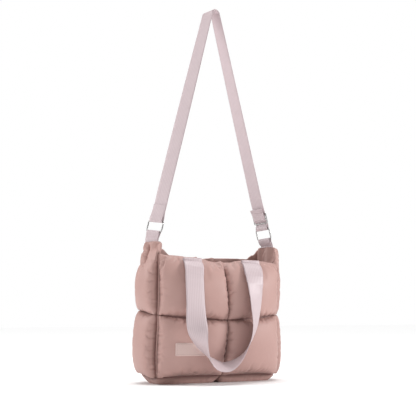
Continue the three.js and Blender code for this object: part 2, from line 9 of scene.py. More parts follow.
import bmesh
import bpy
import numpy as np
from mathutils.bvhtree import BVHTree
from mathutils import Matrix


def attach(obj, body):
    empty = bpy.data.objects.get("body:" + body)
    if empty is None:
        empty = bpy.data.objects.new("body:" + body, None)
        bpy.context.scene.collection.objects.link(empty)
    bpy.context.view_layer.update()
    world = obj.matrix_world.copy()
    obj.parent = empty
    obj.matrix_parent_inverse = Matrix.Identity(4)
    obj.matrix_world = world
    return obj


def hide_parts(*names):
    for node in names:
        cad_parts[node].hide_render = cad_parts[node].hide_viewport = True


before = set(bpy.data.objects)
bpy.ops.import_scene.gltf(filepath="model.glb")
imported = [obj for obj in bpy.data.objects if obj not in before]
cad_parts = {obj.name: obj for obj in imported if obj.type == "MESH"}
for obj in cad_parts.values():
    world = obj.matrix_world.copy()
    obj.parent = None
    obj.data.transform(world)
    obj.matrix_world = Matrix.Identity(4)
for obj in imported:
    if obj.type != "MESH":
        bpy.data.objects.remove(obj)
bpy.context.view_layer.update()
scene = bpy.context.scene

# %% [markdown]
# ## Camera
# The photo was taken from a little left of the front, low down, with the lens tilted up a few degrees.
# A long lens far away keeps the upright lines of the strap nearly parallel. The camera could be moved
# by eye, but these values were worked out from the rim, the base and the strap's crest in the photo.

# %% Camera
CAMERA = {
    "place": (-1.1330, -2.1205, -0.7810),
    "tilt_deg": 96.26,
    "turn_deg": -27.9,
    "lens_mm": 81.87,
    "far_m": 100,
}

camera = bpy.data.objects.new("camera", bpy.data.cameras.new("camera"))
camera.location = CAMERA["place"]
camera.rotation_euler = (math.radians(CAMERA["tilt_deg"]), 0, math.radians(CAMERA["turn_deg"]))
camera.data.lens = CAMERA["lens_mm"]
camera.data.clip_end = CAMERA["far_m"]
scene.collection.objects.link(camera)
scene.camera = camera
print("camera lens", camera.data.lens, "mm")

# %% [markdown]
# ## Materials
# Each finish starts from what the real surface is. Two helpers serve all of them: one turns an sRGB hex
# colour into the linear values that shaders work in, and one adds a node, sets it and links its inputs.

# %% Material helpers
MM = 0.001


def linear(hex_colour):
    """An sRGB hex colour as linear RGBA."""
    shares = [int(hex_colour[i : i + 2], 16) / 255 for i in (1, 3, 5)]
    return [s / 12.92 if s <= 0.04045 else ((s + 0.055) / 1.055) ** 2.4 for s in shares] + [1.0]


def add_node(tree, kind, settings, inputs):
    """Adds a node to a tree. An input given as another node's output is linked."""
    node = tree.nodes.new(kind)
    for name, value in settings.items():
        setattr(node, name, value)
    for name, value in inputs.items():
        if isinstance(value, bpy.types.NodeSocket):
            tree.links.new(value, node.inputs[name])
        else:
            node.inputs[name].default_value = value
    return node


def new_material(name, finish):
    """A material with its Principled shader, and the constant parts of its finish set on the shader."""
    material = bpy.data.materials.new(name)
    material.use_nodes = True
    shader = material.node_tree.nodes["Principled BSDF"]
    for socket, value in finish.items():
        shader.inputs[socket].default_value = value
    return material, material.node_tree, shader


def band_scale(period_mm):
    """The Wave texture's scale that repeats once in that many millimetres of a map in metres."""
    return math.pi / (10 * period_mm * MM)


def noise_scale(size_mm):
    """The Noise texture's scale for blotches of about that many millimetres."""
    return 1 / (size_mm * MM)


print("mid grey is", round(linear("#808080")[0], 3), "in linear light")

# %% [markdown]
# ## Nylon
# The body is nylon taffeta: a smooth, tight plain weave with a soft sheen. The threads are about 0.25 mm
# apart, too fine to show, so the weave is drawn at 1.1 mm. A slow noise changes the colour a little, and
# a faster one gives the small crinkles that light cloth keeps. Beside each seam the colour is darkened
# as painted shade, so each panel carries an attribute with the distance to its nearest seam.

# %% Nylon taffeta
WEAVE_MM = 1.1
CRINKLE_MM = 9
BLOTCH_MM = 70
SEAM_SHADE_MM = 13

nylon, tree, shader = new_material(
    "nylon_taffeta",
    {
        "Roughness": 0.52,
        "Specular IOR Level": 0.35,
        "Sheen Weight": 0.18,
        "Sheen Roughness": 0.45,
        "Sheen Tint": linear("#f0d9d4"),
    },
)
cloth_map = add_node(tree, "ShaderNodeUVMap", {"uv_map": "cloth"}, {})
blotch = add_node(
    tree,
    "ShaderNodeTexNoise",
    {},
    {"Vector": cloth_map.outputs["UV"], "Scale": noise_scale(BLOTCH_MM), "Detail": 3},
)
colour = add_node(
    tree,
    "ShaderNodeMix",
    {"data_type": "RGBA"},
    {0: blotch.outputs["Fac"], 6: linear("#ae8a83"), 7: linear("#b9968f")},
)
# Painted shade: within SEAM_SHADE_MM of a seam the base colour is darkened towards #6b4a44.
seam_gap = add_node(tree, "ShaderNodeAttribute", {"attribute_name": "seam_gap"}, {})
painted_seam_shade = add_node(
    tree,
    "ShaderNodeMapRange",
    {"interpolation_type": "SMOOTHSTEP"},
    {"Value": seam_gap.outputs["Fac"], "From Max": SEAM_SHADE_MM, "To Min": 0.85, "To Max": 0},
)
shaded = add_node(
    tree,
    "ShaderNodeMix",
    {"data_type": "RGBA"},
    {0: painted_seam_shade.outputs["Result"], 6: colour.outputs[2], 7: linear("#6b4a44")},
)
tree.links.new(shaded.outputs[2], shader.inputs["Base Color"])
crinkle = add_node(
    tree,
    "ShaderNodeTexNoise",
    {},
    {"Vector": cloth_map.outputs["UV"], "Scale": noise_scale(CRINKLE_MM), "Detail": 4, "Distortion": 0.6},
)
crinkle_bump = add_node(
    tree, "ShaderNodeBump", {}, {"Height": crinkle.outputs["Fac"], "Strength": 0.25, "Distance": 0.0012}
)
weft, warp = (
    add_node(
        tree,
        "ShaderNodeTexWave",
        {"bands_direction": direction},
        {"Vector": cloth_map.outputs["UV"], "Scale": band_scale(WEAVE_MM)},
    )
    for direction in ("X", "Y")
)
threads = add_node(
    tree, "ShaderNodeMath", {"operation": "MAXIMUM"}, {0: weft.outputs["Fac"], 1: warp.outputs["Fac"]}
)
weave_bump = add_node(
    tree,
    "ShaderNodeBump",
    {},
    {
        "Height": threads.outputs[0],
        "Strength": 0.12,
        "Distance": 0.0002,
        "Normal": crinkle_bump.outputs["Normal"],
    },
)
tree.links.new(weave_bump.outputs["Normal"], shader.inputs["Normal"])
print("made", nylon.name)

# %% [markdown]
# ## Webbing
# The handles and the strap are polyester webbing woven with ribs along their length, which gives a satin
# gleam. The real ribs are about 2 mm wide, too fine to show, so they are drawn at 4.6 mm. The map runs in
# metres, with U across the band and V along it, so the ribs follow every bend.

# %% Satin webbing
RIB_MM = 4.6
PICK_MM = 1.6

webbing, tree, shader = new_material(
    "polyester_webbing",
    {
        "Roughness": 0.42,
        "Specular IOR Level": 0.45,
        "Sheen Weight": 0.15,
        "Sheen Roughness": 0.4,
        "Sheen Tint": linear("#fff2f3"),
    },
)
band_map = add_node(tree, "ShaderNodeUVMap", {"uv_map": "cloth"}, {})
ribs = add_node(
    tree,
    "ShaderNodeTexWave",
    {"bands_direction": "X"},
    {"Vector": band_map.outputs["UV"], "Scale": band_scale(RIB_MM), "Distortion": 0.4, "Detail": 1},
)
picks = add_node(
    tree,
    "ShaderNodeTexWave",
    {"bands_direction": "Y"},
    {"Vector": band_map.outputs["UV"], "Scale": band_scale(PICK_MM), "Distortion": 0.6, "Detail": 1},
)
# The colour alternates with the ribs: the darker stripe is painted shade in the grooves between them.
colour = add_node(
    tree,
    "ShaderNodeMix",
    {"data_type": "RGBA"},
    {0: ribs.outputs["Fac"], 6: linear("#bfadb0"), 7: linear("#c9b9bc")},
)
tree.links.new(colour.outputs[2], shader.inputs["Base Color"])
rib_bump = add_node(
    tree, "ShaderNodeBump", {}, {"Height": ribs.outputs["Fac"], "Strength": 0.35, "Distance": 0.0004}
)
pick_bump = add_node(
    tree,
    "ShaderNodeBump",
    {},
    {
        "Height": picks.outputs["Fac"],
        "Strength": 0.2,
        "Distance": 0.0002,
        "Normal": rib_bump.outputs["Normal"],
    },
)
tree.links.new(pick_bump.outputs["Normal"], shader.inputs["Normal"])
print("made", webbing.name)

# %% [markdown]
# ## Patch, thread and plated wire
# The patch is coated fabric with a fine grain. The thread is spun polyester in two shades. The rings and
# the slide are steel and zinc with a bright nickel plate, which mirrors the room and has faint scuffs.

# %% Coated patch, thread and nickel
GRAIN_MM = 1.4
SCUFF_MM = 6
TWIST_MM = 2

coated, tree, shader = new_material("coated_fabric", {"Roughness": 0.5, "Specular IOR Level": 0.4})
place = add_node(tree, "ShaderNodeTexCoord", {}, {})
grain = add_node(
    tree,
    "ShaderNodeTexNoise",
    {},
    {"Vector": place.outputs["Object"], "Scale": noise_scale(GRAIN_MM), "Detail": 2},
)
colour = add_node(
    tree,
    "ShaderNodeMix",
    {"data_type": "RGBA"},
    {0: grain.outputs["Fac"], 6: linear("#c6aca6"), 7: linear("#d2b9b3")},
)
tree.links.new(colour.outputs[2], shader.inputs["Base Color"])
grain_bump = add_node(
    tree, "ShaderNodeBump", {}, {"Height": grain.outputs["Fac"], "Strength": 0.2, "Distance": 0.0003}
)
tree.links.new(grain_bump.outputs["Normal"], shader.inputs["Normal"])

threads_of = {}
for name, dark, light in (("rose_thread", "#8d6c66", "#a5837c"), ("pale_thread", "#c3adb0", "#dccacd")):
    threads_of[name], tree, shader = new_material(name, {"Roughness": 0.7})
    place = add_node(tree, "ShaderNodeTexCoord", {}, {})
    twist = add_node(
        tree,
        "ShaderNodeTexNoise",
        {},
        {"Vector": place.outputs["Object"], "Scale": noise_scale(TWIST_MM)},
    )
    colour = add_node(
        tree,
        "ShaderNodeMix",
        {"data_type": "RGBA"},
        {0: twist.outputs["Fac"], 6: linear(dark), 7: linear(light)},
    )
    tree.links.new(colour.outputs[2], shader.inputs["Base Color"])

nickel, tree, shader = new_material("nickel_plate", {"Metallic": 1.0, "Base Color": linear("#9c9a99")})
place = add_node(tree, "ShaderNodeTexCoord", {}, {})
scuff = add_node(
    tree,
    "ShaderNodeTexNoise",
    {},
    {"Vector": place.outputs["Object"], "Scale": noise_scale(SCUFF_MM), "Detail": 5},
)
polish = add_node(
    tree,
    "ShaderNodeMapRange",
    {},
    {"Value": scuff.outputs["Fac"], "To Min": 0.12, "To Max": 0.3},
)
tree.links.new(polish.outputs["Result"], shader.inputs["Roughness"])
print("made", coated.name, nickel.name, *threads_of)

# %% [markdown]
# ## The body's seams
# Five padded panels meet along seams, and their cloth is sewn down again along quilting lines. So the
# seams come first: short tables give the width, depth and bulge of the body at a few heights, and the
# height of the rim. They are the part's own sizes, in millimetres above the floor.

# %% Seam tables
ORIGIN = np.array((9.0, 0.0, 954.0))
BODY_LEVELS = {
    "share": (0.0, 0.1, 0.45, 0.8, 1.0),
    "half_width": (165, 168, 165, 166, 166),
    "half_depth": (45, 47, 47, 45, 37),
    "belly": (12, 19, 30, 27, 18),
    "lean": (0, 0, 1, 4, 8),
    "sway": (2, 4, 9, 4, 0),
}
TOP_EDGE = {
    "across": (-1.0, -0.88, -0.7, -0.56, 0.0, 0.5, 0.78, 0.88, 1.0),
    "front": (312, 309, 307, 305, 294, 302, 299, 297, 296),
    "back": (338, 336, 330, 315, 310, 311, 311, 321, 338),
}
EAR_HEIGHT = {-1: 343, 1: 339}
EAR_GATHER = {-1: 0.4, 1: 0.0}
EAR_GATHER_FROM = 0.68
BOTTOM_SEAM = 18
CORNER_SEAM = {"front": 15, "back": 23}
MIDDLE_SEAM = {"front": 165, "back": 177}
MIDDLE_SAG = 12
MIDDLE_SHARE = 0.45
SIDES = {-1: "front", 1: "back"}
print("the front's rim is from", min(TOP_EDGE["front"]), "to", max(TOP_EDGE["front"]), "mm high")

# %% [markdown]
# Curves through these tables give every point of a seam. A power says how near to a corner a curve turns:
# the higher it is, the longer the curve keeps to its course.

# %% Curves through the tables
CORNER_POWER = 4
SAG_POWER = 1.5
GATHER_POWER = 12


def smooth(low, high, x):
    """0 below low, 1 above high, eased between."""
    t = np.clip((x - low) / (high - low), 0, 1)
    return t * t * (3 - 2 * t)


def mix(a, b, share):
    """The value that lies a share of the way from a to b."""
    return a + (b - a) * share


def level(name, share):
    """A column of BODY_LEVELS as a smooth function of the share of the height."""
    at = np.array(BODY_LEVELS["share"])
    value = np.array(BODY_LEVELS[name], float)
    slope = np.gradient(value, at)
    i = np.clip(np.searchsorted(at, share) - 1, 0, len(at) - 2)
    step = at[i + 1] - at[i]
    t = np.clip((share - at[i]) / step, 0, 1)
    start = (1 + 2 * t) * (1 - t) ** 2 * value[i] + t * (1 - t) ** 2 * step * slope[i]
    end = t * t * (3 - 2 * t) * value[i + 1] + t * t * (t - 1) * step * slope[i + 1]
    return start + end


def top_edge(face, across):
    """The height of a face's rim, eased from each row of TOP_EDGE to the next."""
    at = np.array(TOP_EDGE["across"])
    height = np.array(TOP_EDGE[SIDES[face]], float)
    i = np.clip(np.searchsorted(at, across) - 1, 0, len(at) - 2)
    return mix(height[i], height[i + 1], smooth(at[i], at[i + 1], across))


def bottom_seam(face, across):
    """The height of a face's bottom seam, which changes towards its corners."""
    return mix(BOTTOM_SEAM, CORNER_SEAM[SIDES[face]], np.abs(across) ** CORNER_POWER)


def middle_seam(face, across):
    """The height of the seam between the lower and the upper puffs, which sags between its corners."""
    return MIDDLE_SEAM[SIDES[face]] - MIDDLE_SAG * (1 - np.abs(across) ** SAG_POWER)


def height_at(low, middle, high, up):
    """The height at a share of the way up, through the middle seam at MIDDLE_SHARE."""
    above = mix(middle, high, (up - MIDDLE_SHARE) / (1 - MIDDLE_SHARE))
    return np.where(up < MIDDLE_SHARE, mix(low, middle, up / MIDDLE_SHARE), above)


def cell_shares(up):
    """How far up its own puff a point is, from 0 to 1, below and above the middle seam."""
    return np.where(up < MIDDLE_SHARE, up / MIDDLE_SHARE, (up - MIDDLE_SHARE) / (1 - MIDDLE_SHARE))


def back_gather(side, share):
    """How far a tab draws the back corner of its ear inwards, as a factor of the body's depth."""
    return 1 - EAR_GATHER[side] * smooth(EAR_GATHER_FROM, 1, share)


def face_point(face, across, up):
    """The seam surface of the front (-1) or back (1), across from -1 to 1 and up from 0 to 1."""
    z = height_at(bottom_seam(face, across), middle_seam(face, across), top_edge(face, across), up)
    seam, corner = MIDDLE_SEAM[SIDES[face]], CORNER_SEAM[SIDES[face]]
    ear = np.where(across < 0, EAR_HEIGHT[-1], EAR_HEIGHT[1])
    below = MIDDLE_SHARE * (z - corner) / (seam - corner)
    above = MIDDLE_SHARE + (1 - MIDDLE_SHARE) * (z - seam) / (ear - seam)
    share = mix(up, np.where(z < seam, below, above), np.abs(across) ** CORNER_POWER)
    x = level("lean", share) + across * level("half_width", share) + level("sway", share) * (1 - across**2)
    half_depth = level("half_depth", share)
    if face > 0:
        gather = np.where(across < 0, back_gather(-1, share), back_gather(1, share))
        half_depth = half_depth * mix(1, gather, across**GATHER_POWER)
    y = face * (half_depth + level("belly", share) * (1 - across**2))
    return np.stack([x, y, z], -1)


left_corner = face_point(-1, np.array(-1.0), np.array(MIDDLE_SHARE))
print("the front's middle seam meets the left corner at", left_corner.round().tolist(), "mm")

# %% [markdown]
# ## Blowing up a quilted panel
# A quilted puff is cloth that is sewn down on all sides and filled. Sculpting its puckers by hand is slow
# and they never look pulled. Here Blender's cloth does it: the outer sheet starts as a low pillow, its
# sewn rows are pinned, the cloth is let out by a few per cent, and pressure blows it up. The spare cloth
# then gathers along the seams by itself.

# %% Cloth helper
PRESSURE = 45
CLOTH_MASS = 0.1
BENDING = 0.04
CLOTH_QUALITY = 5
FRAMES = 24
SHAKE_MM = 0.12


def place_in_row(points):
    """Millimetres above the floor to metres in the part's own frame."""
    return (points - ORIGIN) * MM


def grid_quads(rows, columns, turned):
    """The quads of a grid of points, listed row by row."""
    at = np.arange(rows * columns).reshape(rows, columns)
    corners = [at[:-1, :-1], at[:-1, 1:], at[1:, 1:], at[1:, :-1]]
    return np.stack(corners[::-1] if turned else corners, -1).reshape(-1, 4)


def blow_up(outer, sewn, turned, let_out, seed):
    """Simulates a sheet of cloth that is pinned where it is sewn, and returns its points in millimetres."""
    shake = np.random.default_rng(seed).normal(0, SHAKE_MM, outer.shape) * ~sewn[..., None]
    shaken = ((outer + shake) * MM).reshape(-1, 3)
    mesh = bpy.data.meshes.new("sheet")
    mesh.from_pydata(shaken.tolist(), [], grid_quads(*sewn.shape, turned).tolist())
    sheet = bpy.data.objects.new("sheet", mesh)
    scene.collection.objects.link(sheet)
    sheet.vertex_groups.new(name="sewn").add(np.flatnonzero(sewn.ravel()).tolist(), 1.0, "REPLACE")
    cloth = sheet.modifiers.new("cloth", "CLOTH")
    cloth.settings.quality = CLOTH_QUALITY
    cloth.settings.mass = CLOTH_MASS
    cloth.settings.vertex_group_mass = "sewn"
    cloth.settings.bending_stiffness = BENDING
    cloth.settings.use_pressure = True
    cloth.settings.uniform_pressure_force = PRESSURE
    cloth.settings.shrink_min = -let_out
    cloth.settings.effector_weights.gravity = 0
    cloth.collision_settings.use_collision = False
    cloth.point_cache.frame_end = FRAMES
    for number in range(1, FRAMES + 1):
        scene.frame_set(number)
    done = sheet.evaluated_get(bpy.context.evaluated_depsgraph_get()).data
    points = np.empty(len(done.vertices) * 3, np.float32)
    done.vertices.foreach_get("co", points)
    bpy.data.objects.remove(sheet)
    scene.frame_set(1)
    return points.reshape(outer.shape).astype(float) / MM


print("each sheet is blown up for", FRAMES, "frames")

# %% [markdown]
# ## From two sheets to one panel
# A finished panel is a closed pad: the blown-up outer sheet, a calmer inner sheet, and the edge between
# them. A puff's first profile is a pillow with steep sides. Its grid is a little finer beside the seams,
# where the cloth gathers most.

# %% Profiles and spacing
SEWN_POWER = 0.28
RIM_POWER = 0.45
END_CROWDING = 0.3


def pillow(share, power):
    """A pillow's height across it: 0 at both ends and 1 in the middle, steeper for a lower power."""
    return np.maximum(0, 4 * share * (1 - share)) ** power


def cell_profile(cell_up, upper):
    """A cell's profile from its low to its high edge. A free rim closes more gently than a seam."""
    return pillow(cell_up, np.where(upper & (cell_up > 0.5), RIM_POWER, SEWN_POWER))


def seam_spaced(count):
    """Shares from 0 to 1, a little closer together at both ends."""
    even = np.linspace(0, 1, count + 1)
    return mix(even, (1 - np.cos(np.pi * even)) / 2, END_CROWDING)


def two_cells(low_count, high_count, seam):
    """Shares from 0 to 1 through two cells that meet at a seam."""
    return np.concatenate([seam * seam_spaced(low_count), seam + (1 - seam) * seam_spaced(high_count)[1:]])


print("ten steps are spaced", np.diff(seam_spaced(10)).round(3).tolist())

# %% [markdown]
# At a seam, neighbouring panels share one edge line, so no gap shows. That line lies sunk between the puffs
# and wanders a little to each side, because thread pulls cloth in unevenly. Puffs that would bulge over a
# seam are pressed flat against the plane between them, as two real puffs press on each other.

# %% Puffs that press on each other
SEAM_HALF = 1.5
SEAM_SINK = {"corner": 7.0, "base": 3.0}
CONTACT = {
    "corner": {"gap": 1.4, "ease": 2.4},
    "base": {"gap": 0.5, "ease": 1.2},
    "quilted": {"gap": 0.2, "ease": 0.8},
}
PUCKER_LENGTHS = {53: 1.1, 23: 0.8, 12: 0.5}
MOST_SWELL = 3.2
ENDS = ((0, -1), (-1, 1))  # A grid's first and last line, and the side of the bag each is on


def pucker(along):
    """How far a seam wanders to one side, at a distance along it in millimetres."""
    return sum(size * np.sin(2 * np.pi * along / length) for length, size in PUCKER_LENGTHS.items())


def stay_behind(points, on_plane, normal, seam, wander=0):
    """Moves points that are past a plane back onto it. The cloth leaves the plane in a gentle curve."""
    normal = np.array(normal) / np.linalg.norm(normal)
    gap, ease = CONTACT[seam].values()
    past = (points - on_plane) @ normal - wander + gap
    return points - (ease * np.logaddexp(0, past / ease))[..., None] * normal


def wandering(line, normal, wander):
    """A seam's line of points, moved to one side by its puckers."""
    return line + wander[..., None] * np.array(normal) / np.linalg.norm(normal)


def seam_edges(shape, out, corners):
    """The direction each point of a panel is lifted in, and how far. The outer seams lie sunk."""
    edge = np.tile(out, (*shape, 1))
    lift = np.full((*shape, 1), SEAM_HALF)
    for line, towards, seam in corners:
        edge[line] += towards
        lift[line] = -SEAM_SINK[seam]
    return edge / np.linalg.norm(edge, axis=-1, keepdims=True), lift


def over_swell(swell, most):
    """How far cloth has swollen beyond what it may: the swell past its first shape is eased to the most."""
    eased = most * (1 - np.exp(-np.maximum(swell, 0) / most))
    return np.where(swell > 0, swell - eased, 0)


print("the corner seams lie", SEAM_SINK["corner"], "mm deep")

# %% [markdown]
# Both sheets are grids of points, so a pad is closed by a strip round the edge of the grid. Its cloth map
# runs in metres along the cloth, and an attribute holds each point's distance to the nearest seam.

# %% Closing a panel
INNER_SWELL = 0.35


def grid_edge(rows, columns):
    """The numbers of the points round the edge of a grid, in order."""
    at = np.arange(rows * columns).reshape(rows, columns)
    return np.concatenate([at[0, :-1], at[:-1, -1], at[-1, :0:-1], at[:0:-1, 0]])


def inner_sheet(base, lift, edge, hollow, swell, out):
    """The sheet inside the bag, which takes a share of the outer sheet's swell."""
    inset = base + (lift - 2 * SEAM_HALF) * edge
    return inset - hollow[..., None] * out - INNER_SWELL * swell[..., None] * out


def make_piece(name, points, faces, cloth_map, material):
    """A mesh object from points in metres, with its cloth map, smooth shading and material."""
    mesh = bpy.data.meshes.new(name)
    mesh.from_pydata(points.tolist(), [], faces)
    corner = np.empty(len(mesh.loops), int)
    mesh.loops.foreach_get("vertex_index", corner)
    mesh.uv_layers.new(name="cloth").data.foreach_set("uv", cloth_map[corner].ravel())
    mesh.shade_smooth()
    mesh.materials.append(material)
    piece = bpy.data.objects.new(name, mesh)
    scene.collection.objects.link(piece)
    return piece


def close_panel(name, outer, inner, turned, rim_rise, seams):
    """Joins the outer and inner sheets round their edge, and raises the edge at a free rim."""
    rows, columns = outer.shape[:2]
    edge = grid_edge(rows, columns)
    between = (outer + inner).reshape(-1, 3)[edge] / 2
    between[:, 2] += rim_rise.ravel()[edge]
    points = np.concatenate([outer.reshape(-1, 3), inner.reshape(-1, 3), between])
    size = rows * columns
    middle = 2 * size + np.arange(len(edge))
    faces = [grid_quads(rows, columns, turned), grid_quads(rows, columns, not turned) + size]
    for first, second in ((edge, middle), (middle, edge + size)):
        strip = np.stack([first, second, np.roll(second, -1), np.roll(first, -1)], -1)
        faces.append(strip[:, ::-1] if turned else strip)
    along = [np.linalg.norm(np.diff(outer, axis=k), axis=-1).mean(axis=1 - k).cumsum() for k in (0, 1)]
    v, u = (np.concatenate([[0], steps]) * MM for steps in along)
    grid_map = np.stack(np.meshgrid(u, v), -1).reshape(-1, 2)
    cloth_map = np.concatenate([grid_map, grid_map, grid_map[edge]])
    piece = make_piece(name, place_in_row(points), np.concatenate(faces).tolist(), cloth_map, nylon)
    u, v = np.meshgrid(u / MM, v / MM)
    # The distance to the nearest seam sets the nylon's painted seam shade, and a free edge gets none.
    gaps = [np.abs(v - v[k]) for k in seams["rows"]] + [np.abs(u - u[:, [k]]) for k in seams["columns"]]
    gap = (np.minimum.reduce(gaps) + SEAM_SHADE_MM * seams.get("free", 0)).ravel()
    values = np.concatenate([gap, gap, gap[edge]])
    piece.data.attributes.new("seam_gap", "FLOAT", "POINT").data.foreach_set("value", values)
    return piece


def stand_for(piece, node):
    """Hides a CAD node and attaches the piece that stands in its place to the root."""
    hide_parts(node)
    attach(piece, "root")


def finish_panel(piece, node):
    """Hands a pad over as the padded piece that stands for a panel."""
    stand_for(piece, node)
    print(piece.name, len(piece.data.polygons), "faces")


print("an inner sheet takes", INNER_SWELL, "of the outer one's swell")

# %% [markdown]
# ## Front and back
# Each face is quilted into two by two puffs. The rim is a turned edge that gathers in small waves, and it
# dips between the ears. The outer cloth may swell a little past the CAD solid, but not where a handle
# lies on it.

# %% Grid of a face
FACE_STEPS = {"cell": 76, "low": 62, "high": 68}
RIM_RISE = 1.2

across = 2 * two_cells(FACE_STEPS["cell"], FACE_STEPS["cell"], 0.5) - 1
up = two_cells(FACE_STEPS["low"], FACE_STEPS["high"], MIDDLE_SHARE)
across, up = np.meshgrid(across, up)
cell_across = np.where(across < 0, across + 1, across)
cell_up = cell_shares(up)
seam_row, seam_column = FACE_STEPS["low"], FACE_STEPS["cell"]
sewn = np.zeros(across.shape, bool)
sewn[[0, seam_row, -1]] = True
sewn[:, [0, seam_column, -1]] = True
rim_rise = np.zeros(across.shape)
rim_rise[-1] = RIM_RISE
print("a face has", across.size, "points, and", sewn.sum(), "of them are sewn")

# %% Front and back panels
FACE_PUFF = {"outer": 24, "inner": 9}
FACE_LET_OUT = 0.08
FACE_SEED = 11
HANDLE_X = 82
HANDLE_REACH = {"full": 28, "none": 42}
HANDLE_FROM = {"none": 235, "full": 260}
HANDLE_SWELL = 0.6
RIM_WAVE = {"height": 1.3, "depth": 2.6, "from": 0.86, "fade": 6, "phase": 2}
RIM_WAVE_LENGTHS = {61: 1.0, 37: 0.8, 22: 0.5}


def gathers(x, phase):
    """The rim's uneven waves: a few lengths in millimetres that never fall into step."""
    return sum(size * np.sin(2 * np.pi * x / length + phase) for length, size in RIM_WAVE_LENGTHS.items())


def press_face(outer, base, face):
    """Keeps each puff in its own cell, and behind the planes it shares with the gussets and the bottom."""
    for end, side in ENDS:
        seam = base[:, [end]]
        outer = stay_behind(outer, seam, (side, -face, 0), "corner", pucker(seam[..., 2]))
    seam = base[[0]]
    outer = stay_behind(outer, seam, (0, -face, -1), "base", pucker(seam[..., 0]))
    upright, lying = np.s_[:, [seam_column]], np.s_[[seam_row]]
    cells = (
        (np.s_[:, :seam_column], upright, (1, 0, 0)),
        (np.s_[:seam_row], lying, (0, 0, 1)),
        (np.s_[:, seam_column + 1 :], upright, (-1, 0, 0)),
        (np.s_[seam_row + 1 :], lying, (0, 0, -1)),
    )
    for cell, line, away in cells:
        outer[cell] = stay_behind(outer[cell], base[line], away, "quilted")
    return outer


def face_panel(face):
    """The front (-1) or back (1) panel."""
    out = np.array((0.0, face, 0.0))
    base = face_point(face, across, up)
    from_handle = np.abs(np.abs(base[..., 0]) - HANDLE_X)
    below_leg = smooth(HANDLE_REACH["none"], HANDLE_REACH["full"], from_handle)
    from_corner = 1 - np.abs(across) ** RIM_WAVE["fade"]
    near_rim = smooth(RIM_WAVE["from"], 1, up) * from_corner * (1 - below_leg)
    base[..., 1] += RIM_WAVE["depth"] * near_rim * gathers(base[..., 0], face)
    base[..., 2] += RIM_WAVE["height"] * near_rim * gathers(base[..., 0], RIM_WAVE["phase"] + face)
    corners = (
        (np.s_[:, 0], (-1, 0, 0), "corner"),
        (np.s_[:, -1], (1, 0, 0), "corner"),
        (np.s_[0], (0, 0, -1), "base"),
    )
    edge, lift = seam_edges(across.shape, out, corners)
    puff = pillow(cell_across, SEWN_POWER) * cell_profile(cell_up, up > MIDDLE_SHARE) * FACE_PUFF["outer"]
    start = base + lift * edge + puff[..., None] * out
    for end, side in ENDS:
        start[:, end] = wandering(start[:, end], (side, -face, 0), pucker(base[:, end, 2]))

    outer = blow_up(start, sewn, face > 0, FACE_LET_OUT, seed=FACE_SEED + face)
    outer = press_face(outer, base, face)
    under_handle = below_leg * smooth(HANDLE_FROM["none"], HANDLE_FROM["full"], base[..., 2])
    most = mix(MOST_SWELL, HANDLE_SWELL, under_handle)
    outer = outer - over_swell((outer - start) @ out, most)[..., None] * out
    outer[sewn] = start[sewn]
    hollow = pillow(cell_across, 1) * pillow(cell_up, 1) * FACE_PUFF["inner"]
    inner = inner_sheet(base, lift, edge, hollow, (outer - start) @ out, out)
    seams = {"rows": (0, seam_row), "columns": (0, seam_column, -1)}
    return close_panel(SIDES[face] + "_pad", outer, inner, face > 0, rim_rise, seams)


front_pad, back_pad = face_panel(-1), face_panel(1)
finish_panel(front_pad, "front_panel")
finish_panel(back_pad, "back_panel")

# %% [markdown]
# ## Gussets
# Each side is one column of two puffs that rises to an ear. The strap's tab pulls on the ear, which turns
# its edge and folds the cloth below it into a pleat, with a narrow dent at the top. Above the front's rim
# the ear's front edge is free, so it isn't sunk there as a seam is.

# %% The ears' cloth
EAR_FOLDS = {"left": 2.5, "right": 5.0, "count": 2.5}
EAR_TURN = {"left": 0.625, "right": 0.364, "from": 0.8}
EAR_DROP = {"left": 5, "right": 1, "front": 6, "from": 0.35}
EAR_SLIT = {"depth": 8, "half_width": 0.09, "from": 0.84, "full": 0.93}
EAR_PLEAT = {"depth": 13, "half_width": 0.15, "from": 0.7, "fade": 8}
EAR_EDGE_POWER = 4
TAB_HOLD = {"out": 1.6, "rise": 2.0, "from": 0.94, "full": 0.45, "none": 0.6}


def tab_hold(depth, up):
    """1 where a tab is sewn into the ear's edge, and 0 away from it."""
    return smooth(TAB_HOLD["from"], 1, up) * smooth(TAB_HOLD["none"], TAB_HOLD["full"], np.abs(depth))


def dent(depth, half_width):
    """The profile of a dent down the middle of a gusset."""
    return np.exp(-((depth / half_width) ** 2))


def gusset_base(name, side, depth, up, hold):
    """The seam surface of a gusset, with its ear's folds, dent and turned edge."""
    share = (depth + 1) / 2
    seam = mix(*MIDDLE_SEAM.values(), share)
    most_drop = np.where(depth > 0, EAR_DROP[name], EAR_DROP["front"])
    drop = most_drop * smooth(EAR_DROP["from"], 1, np.abs(depth))
    z = height_at(mix(*CORNER_SEAM.values(), share), seam, EAR_HEIGHT[side] - drop, up)
    above = MIDDLE_SHARE + (1 - MIDDLE_SHARE) * (z - seam) / (EAR_HEIGHT[side] - seam)
    at = np.where(up > MIDDLE_SHARE, above, up)
    x = level("lean", at) + side * level("half_width", at)
    y = depth * level("half_depth", at) * np.where(depth > 0, back_gather(side, at), 1)
    off_edge = 1 - depth**EAR_EDGE_POWER
    near_ear = smooth(EAR_PLEAT["from"], 1, up)
    x = x + EAR_FOLDS[name] * near_ear * np.sin(EAR_FOLDS["count"] * np.pi * depth) * off_edge
    slit = smooth(EAR_SLIT["from"], EAR_SLIT["full"], up) * (1 - hold) * dent(depth, EAR_SLIT["half_width"])
    x = x - side * EAR_SLIT["depth"] * slit
    x = x - EAR_TURN[name] * y * smooth(EAR_TURN["from"], 1, up) * off_edge
    return np.stack([x, y, z + TAB_HOLD["rise"] * hold], -1)


print("the ears rise to", *EAR_HEIGHT.values(), "mm")

